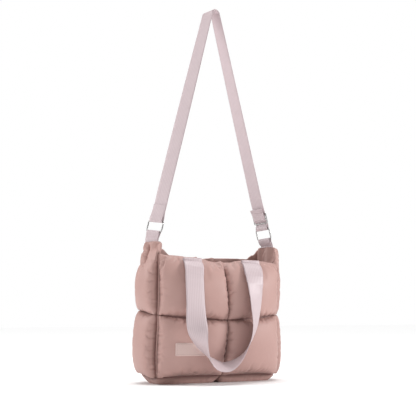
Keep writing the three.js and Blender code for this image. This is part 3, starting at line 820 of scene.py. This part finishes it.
# %% Side gussets
GUSSET_PUFF = {"outer": 25, "inner": 6}
GUSSET_STEPS = {"half": 22, "low": 62, "high": 68}
GUSSET_LET_OUT = 0.08
GUSSET_SEED = 21
EAR_EASE = {"left": 0.55, "right": 0.35, "from": 0.62}
EAR_SWELL = 0.8
EAR_RISE = 1.0
EAR_FREE_OVER = 10
PLEAT_HELD = {"from": 0.8, "half_width": 0.06}


def press_gusset(outer, base, side):
    """Keeps each puff in its own cell, and behind the planes it shares with the faces and the bottom."""
    for end, face in ENDS:
        line = base[:, [end]]
        outer = stay_behind(outer, line, (-side, face, 0), "corner", -pucker(line[..., 2]))
    outer = stay_behind(outer, base[[0]], (-side, 0, -1), "base")
    row = GUSSET_STEPS["low"]
    for cell, away in ((np.s_[:row], (0, 0, 1)), (np.s_[row + 1 :], (0, 0, -1))):
        outer[cell] = stay_behind(outer[cell], base[[row]], away, "quilted")
    return outer


def gusset(name, side):
    """The left (-1) or right (1) gusset, with depth from -1 at the front to 1 at the back."""
    depth = 2 * seam_spaced(2 * GUSSET_STEPS["half"]) - 1
    up = two_cells(GUSSET_STEPS["low"], GUSSET_STEPS["high"], MIDDLE_SHARE)
    depth, up = np.meshgrid(depth, up)
    share, cell_up = (depth + 1) / 2, cell_shares(up)
    hold = tab_hold(depth, up)
    base = gusset_base(name, side, depth, up, hold)

    out = np.array((side, 0.0, 0.0))
    corners = (
        (np.s_[:, 0], (0, -1, 0), "corner"),
        (np.s_[:, -1], (0, 1, 0), "corner"),
        (np.s_[0], (0, 0, -1), "base"),
    )
    edge, lift = seam_edges(up.shape, out, corners)
    rim = TOP_EDGE["front"][0 if side < 0 else -1]
    free = smooth(rim, rim + EAR_FREE_OVER, base[..., 2]) * (depth < 0)
    lift[:, 0, 0] = mix(lift[:, 0, 0], SEAM_HALF, free[:, 0])
    eased = 1 - EAR_EASE[name] * smooth(EAR_EASE["from"], 1, up)
    profile = cell_profile(cell_up, up > MIDDLE_SHARE)
    puff = pillow(share, SEWN_POWER) * profile * GUSSET_PUFF["outer"] * eased
    near_ear = smooth(EAR_PLEAT["from"], 1, up)
    below_edge = 1 - near_ear ** EAR_PLEAT["fade"]
    pleat = EAR_PLEAT["depth"] * near_ear * below_edge * dent(depth, EAR_PLEAT["half_width"])
    thick = TAB_HOLD["out"] * hold[..., None] * out
    start = base + lift * edge + (puff - np.minimum(pleat, puff))[..., None] * out + thick
    for end, face in ENDS:
        start[:, end] = wandering(start[:, end], (side, -face, 0), pucker(base[:, end, 2]))

    row = GUSSET_STEPS["low"]
    sewn = np.zeros(up.shape, bool)
    sewn[[0, row, -1]] = True
    sewn[:, [0, -1]] = True
    in_pleat = (up > PLEAT_HELD["from"]) & (np.abs(depth) < PLEAT_HELD["half_width"])
    outer = blow_up(start, sewn | in_pleat, side < 0, GUSSET_LET_OUT, seed=GUSSET_SEED + side)
    outer = press_gusset(outer, base, side)
    most = mix(MOST_SWELL, EAR_SWELL, near_ear)
    outer = outer - over_swell((outer - start) @ out, most)[..., None] * out
    outer[sewn] = start[sewn]
    hollow = pillow(share, 1) * pillow(cell_up, 1) * GUSSET_PUFF["inner"]
    inner = inner_sheet(base, lift, edge, hollow, (outer - start) @ out, out) - thick
    rim_rise = np.zeros(up.shape)
    rim_rise[-1] = EAR_RISE - (EAR_RISE + TAB_HOLD["rise"]) * hold[-1]
    seams = {"rows": (0, row), "columns": (0, -1), "free": free}
    return close_panel("gusset_pad_" + name, outer, inner, side < 0, rim_rise, seams)


for name, side in (("left", -1), ("right", 1)):
    finish_panel(gusset(name, side), "gusset_" + name)

# %% [markdown]
# ## Bottom
# The bottom is two long puffs side by side. The bag stands on them, so the cloth is pressed flat where it
# meets the floor, and only the seam in the middle stays up.

# %% Bottom panel
BOTTOM_PUFF = {"outer": 24, "inner": 5}
BOTTOM_STEPS = {"cell": 76, "half_depth": 22}
BOTTOM_LET_OUT = 0.04
BOTTOM_SEED = 31
BOTTOM_POWER = 0.5
BASE_SAG = {"depth": 5, "power": 8}
FLOOR_GAP = 0.2


def press_bottom(outer, base):
    """Keeps each puff in its own cell, and behind the planes it shares with the faces and the gussets."""
    for end, face in ENDS:
        line = base[[end]]
        outer = stay_behind(outer, line, (0, face, 1), "base", -pucker(line[..., 0]))
    for end, side in ENDS:
        outer = stay_behind(outer, base[:, [end]], (side, 0, 1), "base")
    column = BOTTOM_STEPS["cell"]
    for cell, away in ((np.s_[:, :column], (1, 0, 0)), (np.s_[:, column + 1 :], (-1, 0, 0))):
        outer[cell] = stay_behind(outer[cell], base[:, [column]], away, "quilted")
    return outer


def bottom_panel():
    """The bottom, with across from -1 to 1 and depth from -1 at the front to 1 at the back."""
    across = 2 * two_cells(BOTTOM_STEPS["cell"], BOTTOM_STEPS["cell"], 0.5) - 1
    depth = 2 * seam_spaced(2 * BOTTOM_STEPS["half_depth"]) - 1
    across, depth = np.meshgrid(across, depth)
    cell_across = np.where(across < 0, across + 1, across)
    share = (depth + 1) / 2
    side_line = face_point(1, across, np.zeros_like(across))
    sag = BASE_SAG["depth"] * (1 - depth**2) * (1 - across ** BASE_SAG["power"])
    z = mix(bottom_seam(-1, across), bottom_seam(1, across), share) - sag
    base = np.stack([side_line[..., 0], depth * side_line[..., 1], z], -1)

    out = np.array((0.0, 0.0, -1.0))
    corners = (
        (np.s_[:, 0], (-1, 0, 0), "base"),
        (np.s_[:, -1], (1, 0, 0), "base"),
        (np.s_[0], (0, -1, 0), "base"),
        (np.s_[-1], (0, 1, 0), "base"),
    )
    edge, lift = seam_edges(across.shape, out, corners)
    puff = pillow(cell_across, BOTTOM_POWER) * pillow(share, BOTTOM_POWER) * BOTTOM_PUFF["outer"]
    start = base + lift * edge + puff[..., None] * out
    column = BOTTOM_STEPS["cell"]
    sewn = np.zeros(across.shape, bool)
    sewn[[0, -1]] = True
    sewn[:, [0, column, -1]] = True
    outer = press_bottom(blow_up(start, sewn, True, BOTTOM_LET_OUT, seed=BOTTOM_SEED), base)
    outer[sewn] = start[sewn]
    outer[..., 2] = np.maximum(outer[..., 2], FLOOR_GAP)
    hollow = pillow(cell_across, 1) * pillow(share, 1) * BOTTOM_PUFF["inner"]
    inner = base + (lift - 2 * SEAM_HALF) * edge - hollow[..., None] * out
    seams = {"rows": (0, -1), "columns": (0, column, -1)}
    return close_panel("bottom_pad", outer, inner, True, np.zeros(across.shape), seams)


finish_panel(bottom_panel(), "bottom_panel")

# %% [markdown]
# ## Webbing bands
# The strap, its tabs and the handles are flat bands. The CAD solids already have their true routes, as
# cross-sections of four points from one end to the other. Those are read from the frame, smoothed, and
# dressed as a woven band: thinner at its edges, with a map that follows its length.

# %% Reading a band's route
BANDS = {
    "strap": {"width": 38 * MM, "thick": 1.4 * MM},
    "handle": {"width": 49 * MM, "thick": 1.8 * MM},
}
MERGE_WITHIN = 1e-6
SECTION_TOLERANCE = 2e-5
END_ANGLE_RAD = 1
LONGEST_STEP = 5 * MM
FINE_STEP = 1.7 * MM


def merged_copy(node):
    """A copy of a CAD node whose loose triangles are joined up. The caller frees it."""
    solid = bmesh.new()
    solid.from_mesh(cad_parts[node].data)
    bmesh.ops.remove_doubles(solid, verts=solid.verts, dist=MERGE_WITHIN)
    solid.verts.index_update()
    return solid


def is_end_face(face, size):
    """Whether a triangle is half of a band's end: its short edges are the section's sides, and sharp."""
    short_edges = sorted(face.edges, key=lambda edge: edge.calc_length())[:2]
    lengths = [edge.calc_length() for edge in short_edges]
    sharp = min(edge.calc_face_angle() for edge in short_edges) > END_ANGLE_RAD
    return sharp and np.allclose(lengths, (size["thick"], size["width"]), atol=SECTION_TOLERANCE)


def band_sections(node, size):
    """The middle and the width direction of a CAD band's cross-sections, in order along it."""
    solid = merged_copy(node)
    ends = [face for face in solid.faces if is_end_face(face, size)]
    ring = set(ends[0].verts)
    for face in ends[1:]:
        if len(ring & set(face.verts)) == 2:
            ring |= set(face.verts)
    seen, sections = set(ring), []
    while ring:
        # A set has no fixed order, so the corners are sorted to give the same band each run
        corners = np.array([v.co for v in sorted(ring, key=lambda v: v.index)])
        partner = np.linalg.norm(corners[1:] - corners[0], axis=1).argmin() + 1
        rest = [k for k in (1, 2, 3) if k != partner]
        first, second = corners[[0, partner]].mean(0), corners[rest].mean(0)
        width = second - first
        if sections and width @ sections[-1][1] < 0:
            width = -width
        sections.append((corners.mean(0), width / np.linalg.norm(width)))
        ring = {e.other_vert(v) for v in ring for e in v.link_edges} - seen
        seen |= ring
    solid.free()
    return tuple(np.array(column) for column in zip(*sections))


def refine(middles, widths):
    """The same route in fine even steps: long straight steps are cut first, then bends are rounded."""
    for step, rounded in ((LONGEST_STEP, False), (FINE_STEP, True)):
        lengths = np.linalg.norm(np.diff(middles, axis=0), axis=1)
        unit = np.diff(middles, axis=0) / lengths[:, None]
        tangent = np.concatenate([unit[:1], unit[:-1] + unit[1:], unit[-1:]])
        tangent /= np.linalg.norm(tangent, axis=1, keepdims=True)
        places, turns = [middles[:1]], [widths[:1]]
        for k, length in enumerate(lengths):
            t = np.linspace(0, 1, max(1, math.ceil(length / step)) + 1)[1:, None]
            start, end = middles[k], middles[k + 1]
            straight = mix(start, end, t)
            ease = t * t * (3 - 2 * t)
            bent = mix(start, end, ease) + length * (
                t * (1 - t) ** 2 * tangent[k] - t * t * (1 - t) * tangent[k + 1]
            )
            places.append(bent if rounded else straight)
            turns.append(mix(widths[k], widths[k + 1], t))
        middles, widths = np.concatenate(places), np.concatenate(turns)
    along = np.gradient(middles, axis=0)
    along /= np.linalg.norm(along, axis=1, keepdims=True)
    widths = widths - (widths * along).sum(1, keepdims=True) * along
    widths /= np.linalg.norm(widths, axis=1, keepdims=True)
    return {"middle": middles, "width": widths, "normal": np.cross(along, widths)}


print("the strap is", *(round(size / MM, 1) for size in BANDS["strap"].values()), "mm in section")

# %% Weaving a band
ACROSS_STEPS = 12
EDGE_THIN = {"share": 0.45, "power": 6}


def weave_band(name, node, size):
    """A band of webbing along a CAD band's route. Returns the piece and its route."""
    route = refine(*band_sections(node, size))
    share = np.linspace(-0.5, 0.5, ACROSS_STEPS + 1)
    half = size["thick"] / 2 * (1 - EDGE_THIN["share"] * np.abs(2 * share) ** EDGE_THIN["power"])
    share, half = np.concatenate([share, share[::-1]]), np.concatenate([half, -half[::-1]])
    points = (
        route["middle"][:, None]
        + share[:, None] * size["width"] * route["width"][:, None]
        + half[:, None] * route["normal"][:, None]
    )
    rows, columns = points.shape[:2]
    at = np.arange(rows * columns).reshape(rows, columns)
    beside = np.roll(at, -1, axis=1)
    faces = np.stack([at[:-1], at[1:], beside[1:], beside[:-1]], -1).reshape(-1, 4).tolist()
    faces += [at[0].tolist(), at[-1, ::-1].tolist()]
    run = np.concatenate([[0], np.linalg.norm(np.diff(route["middle"], axis=0), axis=1).cumsum()])
    route["run"] = run
    cloth_map = np.stack(np.broadcast_arrays((share + 0.5) * size["width"], run[:, None]), -1)
    piece = make_piece(name, points.reshape(-1, 3), faces, cloth_map.reshape(-1, 2), webbing)
    stand_for(piece, node)
    print(name, "is", round(float(run[-1]), 3), "m long in", rows, "steps")
    return piece, route


strap, strap_route = weave_band("strap_webbing", "shoulder_strap", BANDS["strap"])
handles = {
    face: weave_band("handle_webbing_" + face, "handle_" + face, BANDS["handle"])
    for face in SIDES.values()
}
tabs = {
    end: weave_band("tab_webbing_" + end, "strap_tab_" + end, BANDS["strap"])
    for end in ("left", "right")
}

# %% [markdown]
# Each band is a sheet of cloth with a width and a length along its route, folds included. Each is printed
# here with how it is held.

# %% Printing how the bands are held
def declare_band(piece, held):
    """Prints how a band is held."""
    print(piece.name, "is", held)


declare_band(strap, "hung")
for face, (piece, route) in handles.items():
    declare_band(piece, "hung")
for end, (piece, route) in tabs.items():
    declare_band(piece, "folded")

# %% [markdown]
# ## Rings and slide
# The rings are bent wire and the slide is a cast plate. Their CAD solids have the right shape but few
# faces, so copies are merged, rounded with subdivision or a bevel, and plated.

# %% Metal pieces
WIRE_GROW = 0.15 * MM
RING_ROUNDING = 2
JOIN_ANGLE_RAD = 0.7
SLIDE_BEVEL = {"width": 0.5 * MM, "segments": 3, "sharp_deg": 40}


def metal_copy(name, node, grow):
    """A merged copy of a CAD node, grown a little along its normals."""
    solid = merged_copy(node)
    bmesh.ops.join_triangles(
        solid,
        faces=solid.faces,
        angle_face_threshold=JOIN_ANGLE_RAD,
        angle_shape_threshold=JOIN_ANGLE_RAD,
    )
    solid.normal_update()
    for vertex in solid.verts:
        vertex.co += vertex.normal * grow
    mesh = bpy.data.meshes.new(name)
    solid.to_mesh(mesh)
    solid.free()
    mesh.materials.append(nickel)
    piece = bpy.data.objects.new(name, mesh)
    scene.collection.objects.link(piece)
    stand_for(piece, node)
    return piece


for end in ("left", "right"):
    ring = metal_copy("wire_ring_" + end, "ring_" + end, WIRE_GROW)
    ring.data.shade_smooth()
    rounding = ring.modifiers.new("round", "SUBSURF")
    rounding.levels = rounding.render_levels = RING_ROUNDING
slide = metal_copy("slide_plate", "strap_slide", 0)
softening = slide.modifiers.new("soften", "BEVEL")
softening.width = SLIDE_BEVEL["width"]
softening.segments = SLIDE_BEVEL["segments"]
softening.limit_method = "ANGLE"
slide.data.shade_smooth()
slide.data.set_sharp_from_angle(angle=math.radians(SLIDE_BEVEL["sharp_deg"]))
print("plated two rings and a slide")

# %% [markdown]
# ## Patch
# The patch is sewn flat on the lower left puff. Rays find the blown-up cloth under it, and a low curved
# surface through those points keeps the patch smooth, because coated fabric bridges small puckers.

# %% The cloth under the patch
PATCH = {"x": -93, "z": 84, "width": 80, "height": 31, "thick": 1.2}
PATCH_STEPS = {"across": 48, "up": 20}
PATCH_CORNER = {"size": 2.5, "pull": 0.3, "power": 12}
FIT_TERMS = {"across": 4, "up": 3}
BRIDGED = 0.6
PATCH_LIFT = 0.3
RAY_FROM = -300.0

front_tree = BVHTree.FromObject(front_pad, bpy.context.evaluated_depsgraph_get())


def cloth_depth(x, z):
    """How far in front of the middle plane the front's cloth is, in millimetres."""
    start = place_in_row(np.array((x, RAY_FROM, z)))
    return -front_tree.ray_cast(start, (0, 1, 0))[0].y / MM


a, c = np.meshgrid(*(np.linspace(-1, 1, steps + 1) for steps in PATCH_STEPS.values()))
pull = PATCH_CORNER["size"] * (np.abs(a * c) ** PATCH_CORNER["power"])
x = PATCH["x"] + a * (PATCH["width"] / 2) - np.sign(a) * pull * PATCH_CORNER["pull"]
z = PATCH["z"] + c * (PATCH["height"] / 2) - np.sign(c) * pull * PATCH_CORNER["pull"]
depth = np.vectorize(cloth_depth)(x, z)
powers = [(i, j) for i in range(FIT_TERMS["across"]) for j in range(FIT_TERMS["up"])]
terms = np.stack([a**i * c**j for i, j in powers], -1).reshape(a.size, -1)
fit = (terms @ np.linalg.lstsq(terms, depth.ravel(), rcond=None)[0]).reshape(a.shape)
fit += np.maximum(0, depth - fit).max() * BRIDGED + PATCH_LIFT
print("patch stands", round(float((fit - depth).max()), 2), "mm off the cloth at most")

# %% Label patch
PATCH_EDGE = {"thick": 0.45, "across_power": 40, "up_power": 16}

domed = 1 - np.maximum(np.abs(a) ** PATCH_EDGE["across_power"], np.abs(c) ** PATCH_EDGE["up_power"])
top = np.stack([x, -(fit + PATCH["thick"] * mix(PATCH_EDGE["thick"], 1, domed)), z], -1)
low = np.stack([x, -fit, z], -1)
rows, columns = a.shape
edge = grid_edge(rows, columns)
size = rows * columns
wall = np.stack([edge, edge + size, np.roll(edge, -1) + size, np.roll(edge, -1)], -1)
faces = np.concatenate([grid_quads(rows, columns, False), grid_quads(rows, columns, True) + size, wall])
patch_map = np.tile(np.stack([x, z], -1).reshape(-1, 2) * MM, (2, 1))
points = place_in_row(np.concatenate([top.reshape(-1, 3), low.reshape(-1, 3)]))
patch = make_piece("blank_patch", points, faces.tolist(), patch_map, coated)
stand_for(patch, "label_patch")
print(patch.name, len(patch.data.polygons), "faces")

# %% [markdown]
# ## Stitches
# A lockstitch shows as short grains of thread in a row. Geometry Nodes lay them: each line of points
# becomes a curve, it is cut into steps of one stitch, and a small stretched ball is set on every step
# along the curve's direction.

# %% Stitch tree
stitch_tree = bpy.data.node_groups.new("stitch_row", "GeometryNodeTree")
stitch_tree.interface.new_socket("Geometry", in_out="INPUT", socket_type="NodeSocketGeometry")
for label in ("Pitch", "Length", "Thickness"):
    stitch_tree.interface.new_socket(label, in_out="INPUT", socket_type="NodeSocketFloat")
stitch_tree.interface.new_socket("Thread", in_out="INPUT", socket_type="NodeSocketMaterial")
stitch_tree.interface.new_socket("Geometry", in_out="OUTPUT", socket_type="NodeSocketGeometry")
given = add_node(stitch_tree, "NodeGroupInput", {}, {})
line = add_node(stitch_tree, "GeometryNodeMeshToCurve", {}, {"Mesh": given.outputs["Geometry"]})
steps = add_node(
    stitch_tree,
    "GeometryNodeResampleCurve",
    {"mode": "LENGTH"},
    {"Curve": line.outputs["Curve"], "Length": given.outputs["Pitch"]},
)
ball = add_node(stitch_tree, "GeometryNodeMeshUVSphere", {}, {"Segments": 6, "Rings": 5, "Radius": 0.5})
heading = add_node(stitch_tree, "GeometryNodeInputTangent", {}, {})
turn = add_node(
    stitch_tree,
    "FunctionNodeAlignRotationToVector",
    {"axis": "X"},
    {"Vector": heading.outputs["Tangent"]},
)
shape = add_node(
    stitch_tree,
    "ShaderNodeCombineXYZ",
    {},
    {"X": given.outputs["Length"], "Y": given.outputs["Thickness"], "Z": given.outputs["Thickness"]},
)
grains = add_node(
    stitch_tree,
    "GeometryNodeInstanceOnPoints",
    {},
    {
        "Points": steps.outputs["Curve"],
        "Instance": ball.outputs["Mesh"],
        "Rotation": turn.outputs["Rotation"],
        "Scale": shape.outputs["Vector"],
    },
)
solid_grains = add_node(
    stitch_tree, "GeometryNodeRealizeInstances", {}, {"Geometry": grains.outputs["Instances"]}
)
threaded = add_node(
    stitch_tree,
    "GeometryNodeSetMaterial",
    {},
    {"Geometry": solid_grains.outputs["Geometry"], "Material": given.outputs["Thread"]},
)
add_node(stitch_tree, "NodeGroupOutput", {}, {"Geometry": threaded.outputs["Geometry"]})
socket_of = {
    item.name: item.identifier for item in stitch_tree.interface.items_tree if item.in_out == "INPUT"
}
print("the stitch tree has", len(stitch_tree.nodes), "nodes and takes", *socket_of)

# %% [markdown]
# The visible rows are round the patch, across the tabs, across both ends of the handles and across the
# sewn end of the strap.

# %% Stitches round the patch
PATCH_ROW = {"in": 3.0, "lift": 0.1, "pitch": 3.2, "length": 2.4, "thick": 0.5}
BORDER_POINTS = {"across": 40, "up": 16}


def sew(name, lines, stitch, thread):
    """Stitches along lines of points in metres, as one plain mesh."""
    points = np.concatenate(lines)
    starts = np.cumsum([0] + [len(row) for row in lines])
    edges = [(i, i + 1) for first, last in zip(starts, starts[1:]) for i in range(first, last - 1)]
    mesh = bpy.data.meshes.new(name + "_lines")
    mesh.from_pydata(points.tolist(), edges, [])
    guide = bpy.data.objects.new(name + "_lines", mesh)
    scene.collection.objects.link(guide)
    sewing = guide.modifiers.new("sewing", "NODES")
    sewing.node_group = stitch_tree
    sizes = {"Pitch": "pitch", "Length": "length", "Thickness": "thick"}
    for label, column in sizes.items():
        sewing[socket_of[label]] = stitch[column] * MM
    sewing[socket_of["Thread"]] = thread
    evaluated = guide.evaluated_get(bpy.context.evaluated_depsgraph_get())
    sewn_mesh = bpy.data.meshes.new_from_object(evaluated)
    sewn_mesh.name = name
    bpy.data.objects.remove(guide)
    piece = bpy.data.objects.new(name, sewn_mesh)
    sewn_mesh.shade_smooth()
    scene.collection.objects.link(piece)
    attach(piece, "root")
    print(name, len(sewn_mesh.polygons), "faces")
    return piece


def patch_point(a, c):
    """A point on the patch's outer face."""
    at_row = np.abs(np.linspace(-1, 1, rows) - c).argmin()
    at_column = np.abs(np.linspace(-1, 1, columns) - a).argmin()
    return top[at_row, at_column]


inset_a = 1 - 2 * PATCH_ROW["in"] / PATCH["width"]
inset_c = 1 - 2 * PATCH_ROW["in"] / PATCH["height"]
n_across, n_up = BORDER_POINTS.values()
ring_a = np.concatenate(
    [np.linspace(-1, 1, n_across), np.ones(n_up), np.linspace(1, -1, n_across), -np.ones(n_up)]
)
ring_c = np.concatenate(
    [-np.ones(n_across), np.linspace(-1, 1, n_up), np.ones(n_across), np.linspace(1, -1, n_up)]
)
border = np.array([patch_point(p * inset_a, q * inset_c) for p, q in zip(ring_a, ring_c)])
border -= (0, PATCH_ROW["lift"], 0)
sew("patch_stitches", [place_in_row(border)], PATCH_ROW, threads_of["rose_thread"])

# %% Stitches across the webbing
WEBBING_ROW = {"reach": 0.92, "points": 30, "lift": 0.05, "pitch": 2.6, "length": 2.2, "thick": 0.5}
HANDLE_ROWS = (48 * MM,)
TAB_ROWS = (6 * MM, 12 * MM)
STRAP_ROWS = (4 * MM, 10 * MM)


def across_row(route, size, run, side):
    """A line of points across a band, at a distance along its route, on one of its faces."""
    share = np.linspace(-0.5, 0.5, WEBBING_ROW["points"])[:, None] * WEBBING_ROW["reach"]
    k = int(np.abs(route["run"] - run).argmin())
    lift = side * (size["thick"] / 2 + WEBBING_ROW["lift"] * MM)
    return route["middle"][k] + share * size["width"] * route["width"][k] + lift * route["normal"][k]


def on_both_faces(route, size, runs):
    """Lines of points across both faces of a band, at some distances along it."""
    return [across_row(route, size, run, side) for run in runs for side in (-1, 1)]


def from_both_ends(route, runs):
    """The distances along a band that are as far from its start and from its end."""
    return [*runs, *(route["run"][-1] - run for run in runs)]


rows_of_stitches = []
for _, route in handles.values():
    rows_of_stitches += on_both_faces(route, BANDS["handle"], from_both_ends(route, HANDLE_ROWS))
for _, route in tabs.values():
    rows_of_stitches += on_both_faces(route, BANDS["strap"], from_both_ends(route, TAB_ROWS))
rows_of_stitches += on_both_faces(strap_route, BANDS["strap"], STRAP_ROWS)
sew("webbing_stitches", rows_of_stitches, WEBBING_ROW, threads_of["pale_thread"])

# %% [markdown]
# ## Floor and light
# The photo is a bright picture on white. A wide pale floor runs under the bag. A key light comes from the
# right of the camera, a larger one grazes the left gusset from behind, and a weak one fills in from the
# left of the camera. A very broad sun stands for a white ceiling, and a dim room fills the rest. The
# view transform is the plain one, so that white stays white.

# %% Floor
FLOOR_REACH = 8.0

floor_z = -ORIGIN[2] * MM
turns = ((-1, -1), (1, -1), (1, 1), (-1, 1))
floor_corners = [(x * FLOOR_REACH, y * FLOOR_REACH, floor_z) for x, y in turns]
floor_mesh = bpy.data.meshes.new("floor")
floor_mesh.from_pydata(floor_corners, [], [(0, 1, 2, 3)])
floor = bpy.data.objects.new("floor", floor_mesh)
scene.collection.objects.link(floor)
paper, *_ = new_material("white_paper", {"Roughness": 0.9, "Base Color": linear("#fbfbfb")})
floor_mesh.materials.append(paper)
print("the floor is at", round(float(floor_z), 3), "m")

# %% Lights
LIGHTS = {
    "key": {"place": (2.5, -1.8, 0.2), "size": 0.6, "power": 60},
    "side": {"place": (-2.3, 1.25, 0.55), "size": 1.4, "power": 38},
    "fill": {"place": (-2.0, -2.4, -0.5), "size": 1.6, "power": 17},
}
SUN = {"strength": 2.6, "angle_deg": 50, "turn_deg": (-7, 4, 0)}
ROOM_FILL = 0.23
AIM = (0.0, 0.0, -0.75)

for name, light in LIGHTS.items():
    lamp = bpy.data.lights.new(name, "AREA")
    lamp.size = light["size"]
    lamp.energy = light["power"]
    holder = bpy.data.objects.new(name, lamp)
    holder.location = light["place"]
    aim = np.array(AIM) - np.array(light["place"])
    turn = math.atan2(aim[1], aim[0]) - math.pi / 2
    holder.rotation_euler = (math.acos(-aim[2] / np.linalg.norm(aim)), 0, turn)
    scene.collection.objects.link(holder)
sky = bpy.data.lights.new("sky", "SUN")
sky.energy = SUN["strength"]
sky.angle = math.radians(SUN["angle_deg"])
sun = bpy.data.objects.new("sky", sky)
sun.rotation_euler = [math.radians(angle) for angle in SUN["turn_deg"]]
scene.collection.objects.link(sun)
world = bpy.data.worlds.new("bright_room")
world.use_nodes = True
tree = world.node_tree
rays = add_node(tree, "ShaderNodeLightPath", {}, {})
glow = add_node(
    tree,
    "ShaderNodeMapRange",
    {},
    {"Value": rays.outputs["Is Camera Ray"], "To Min": ROOM_FILL, "To Max": 1},
)
tree.nodes["Background"].inputs["Color"].default_value = (1, 1, 1, 1)
tree.links.new(glow.outputs["Result"], tree.nodes["Background"].inputs["Strength"])
scene.world = world
scene.view_settings.view_transform = "Standard"
print("lights", *LIGHTS)
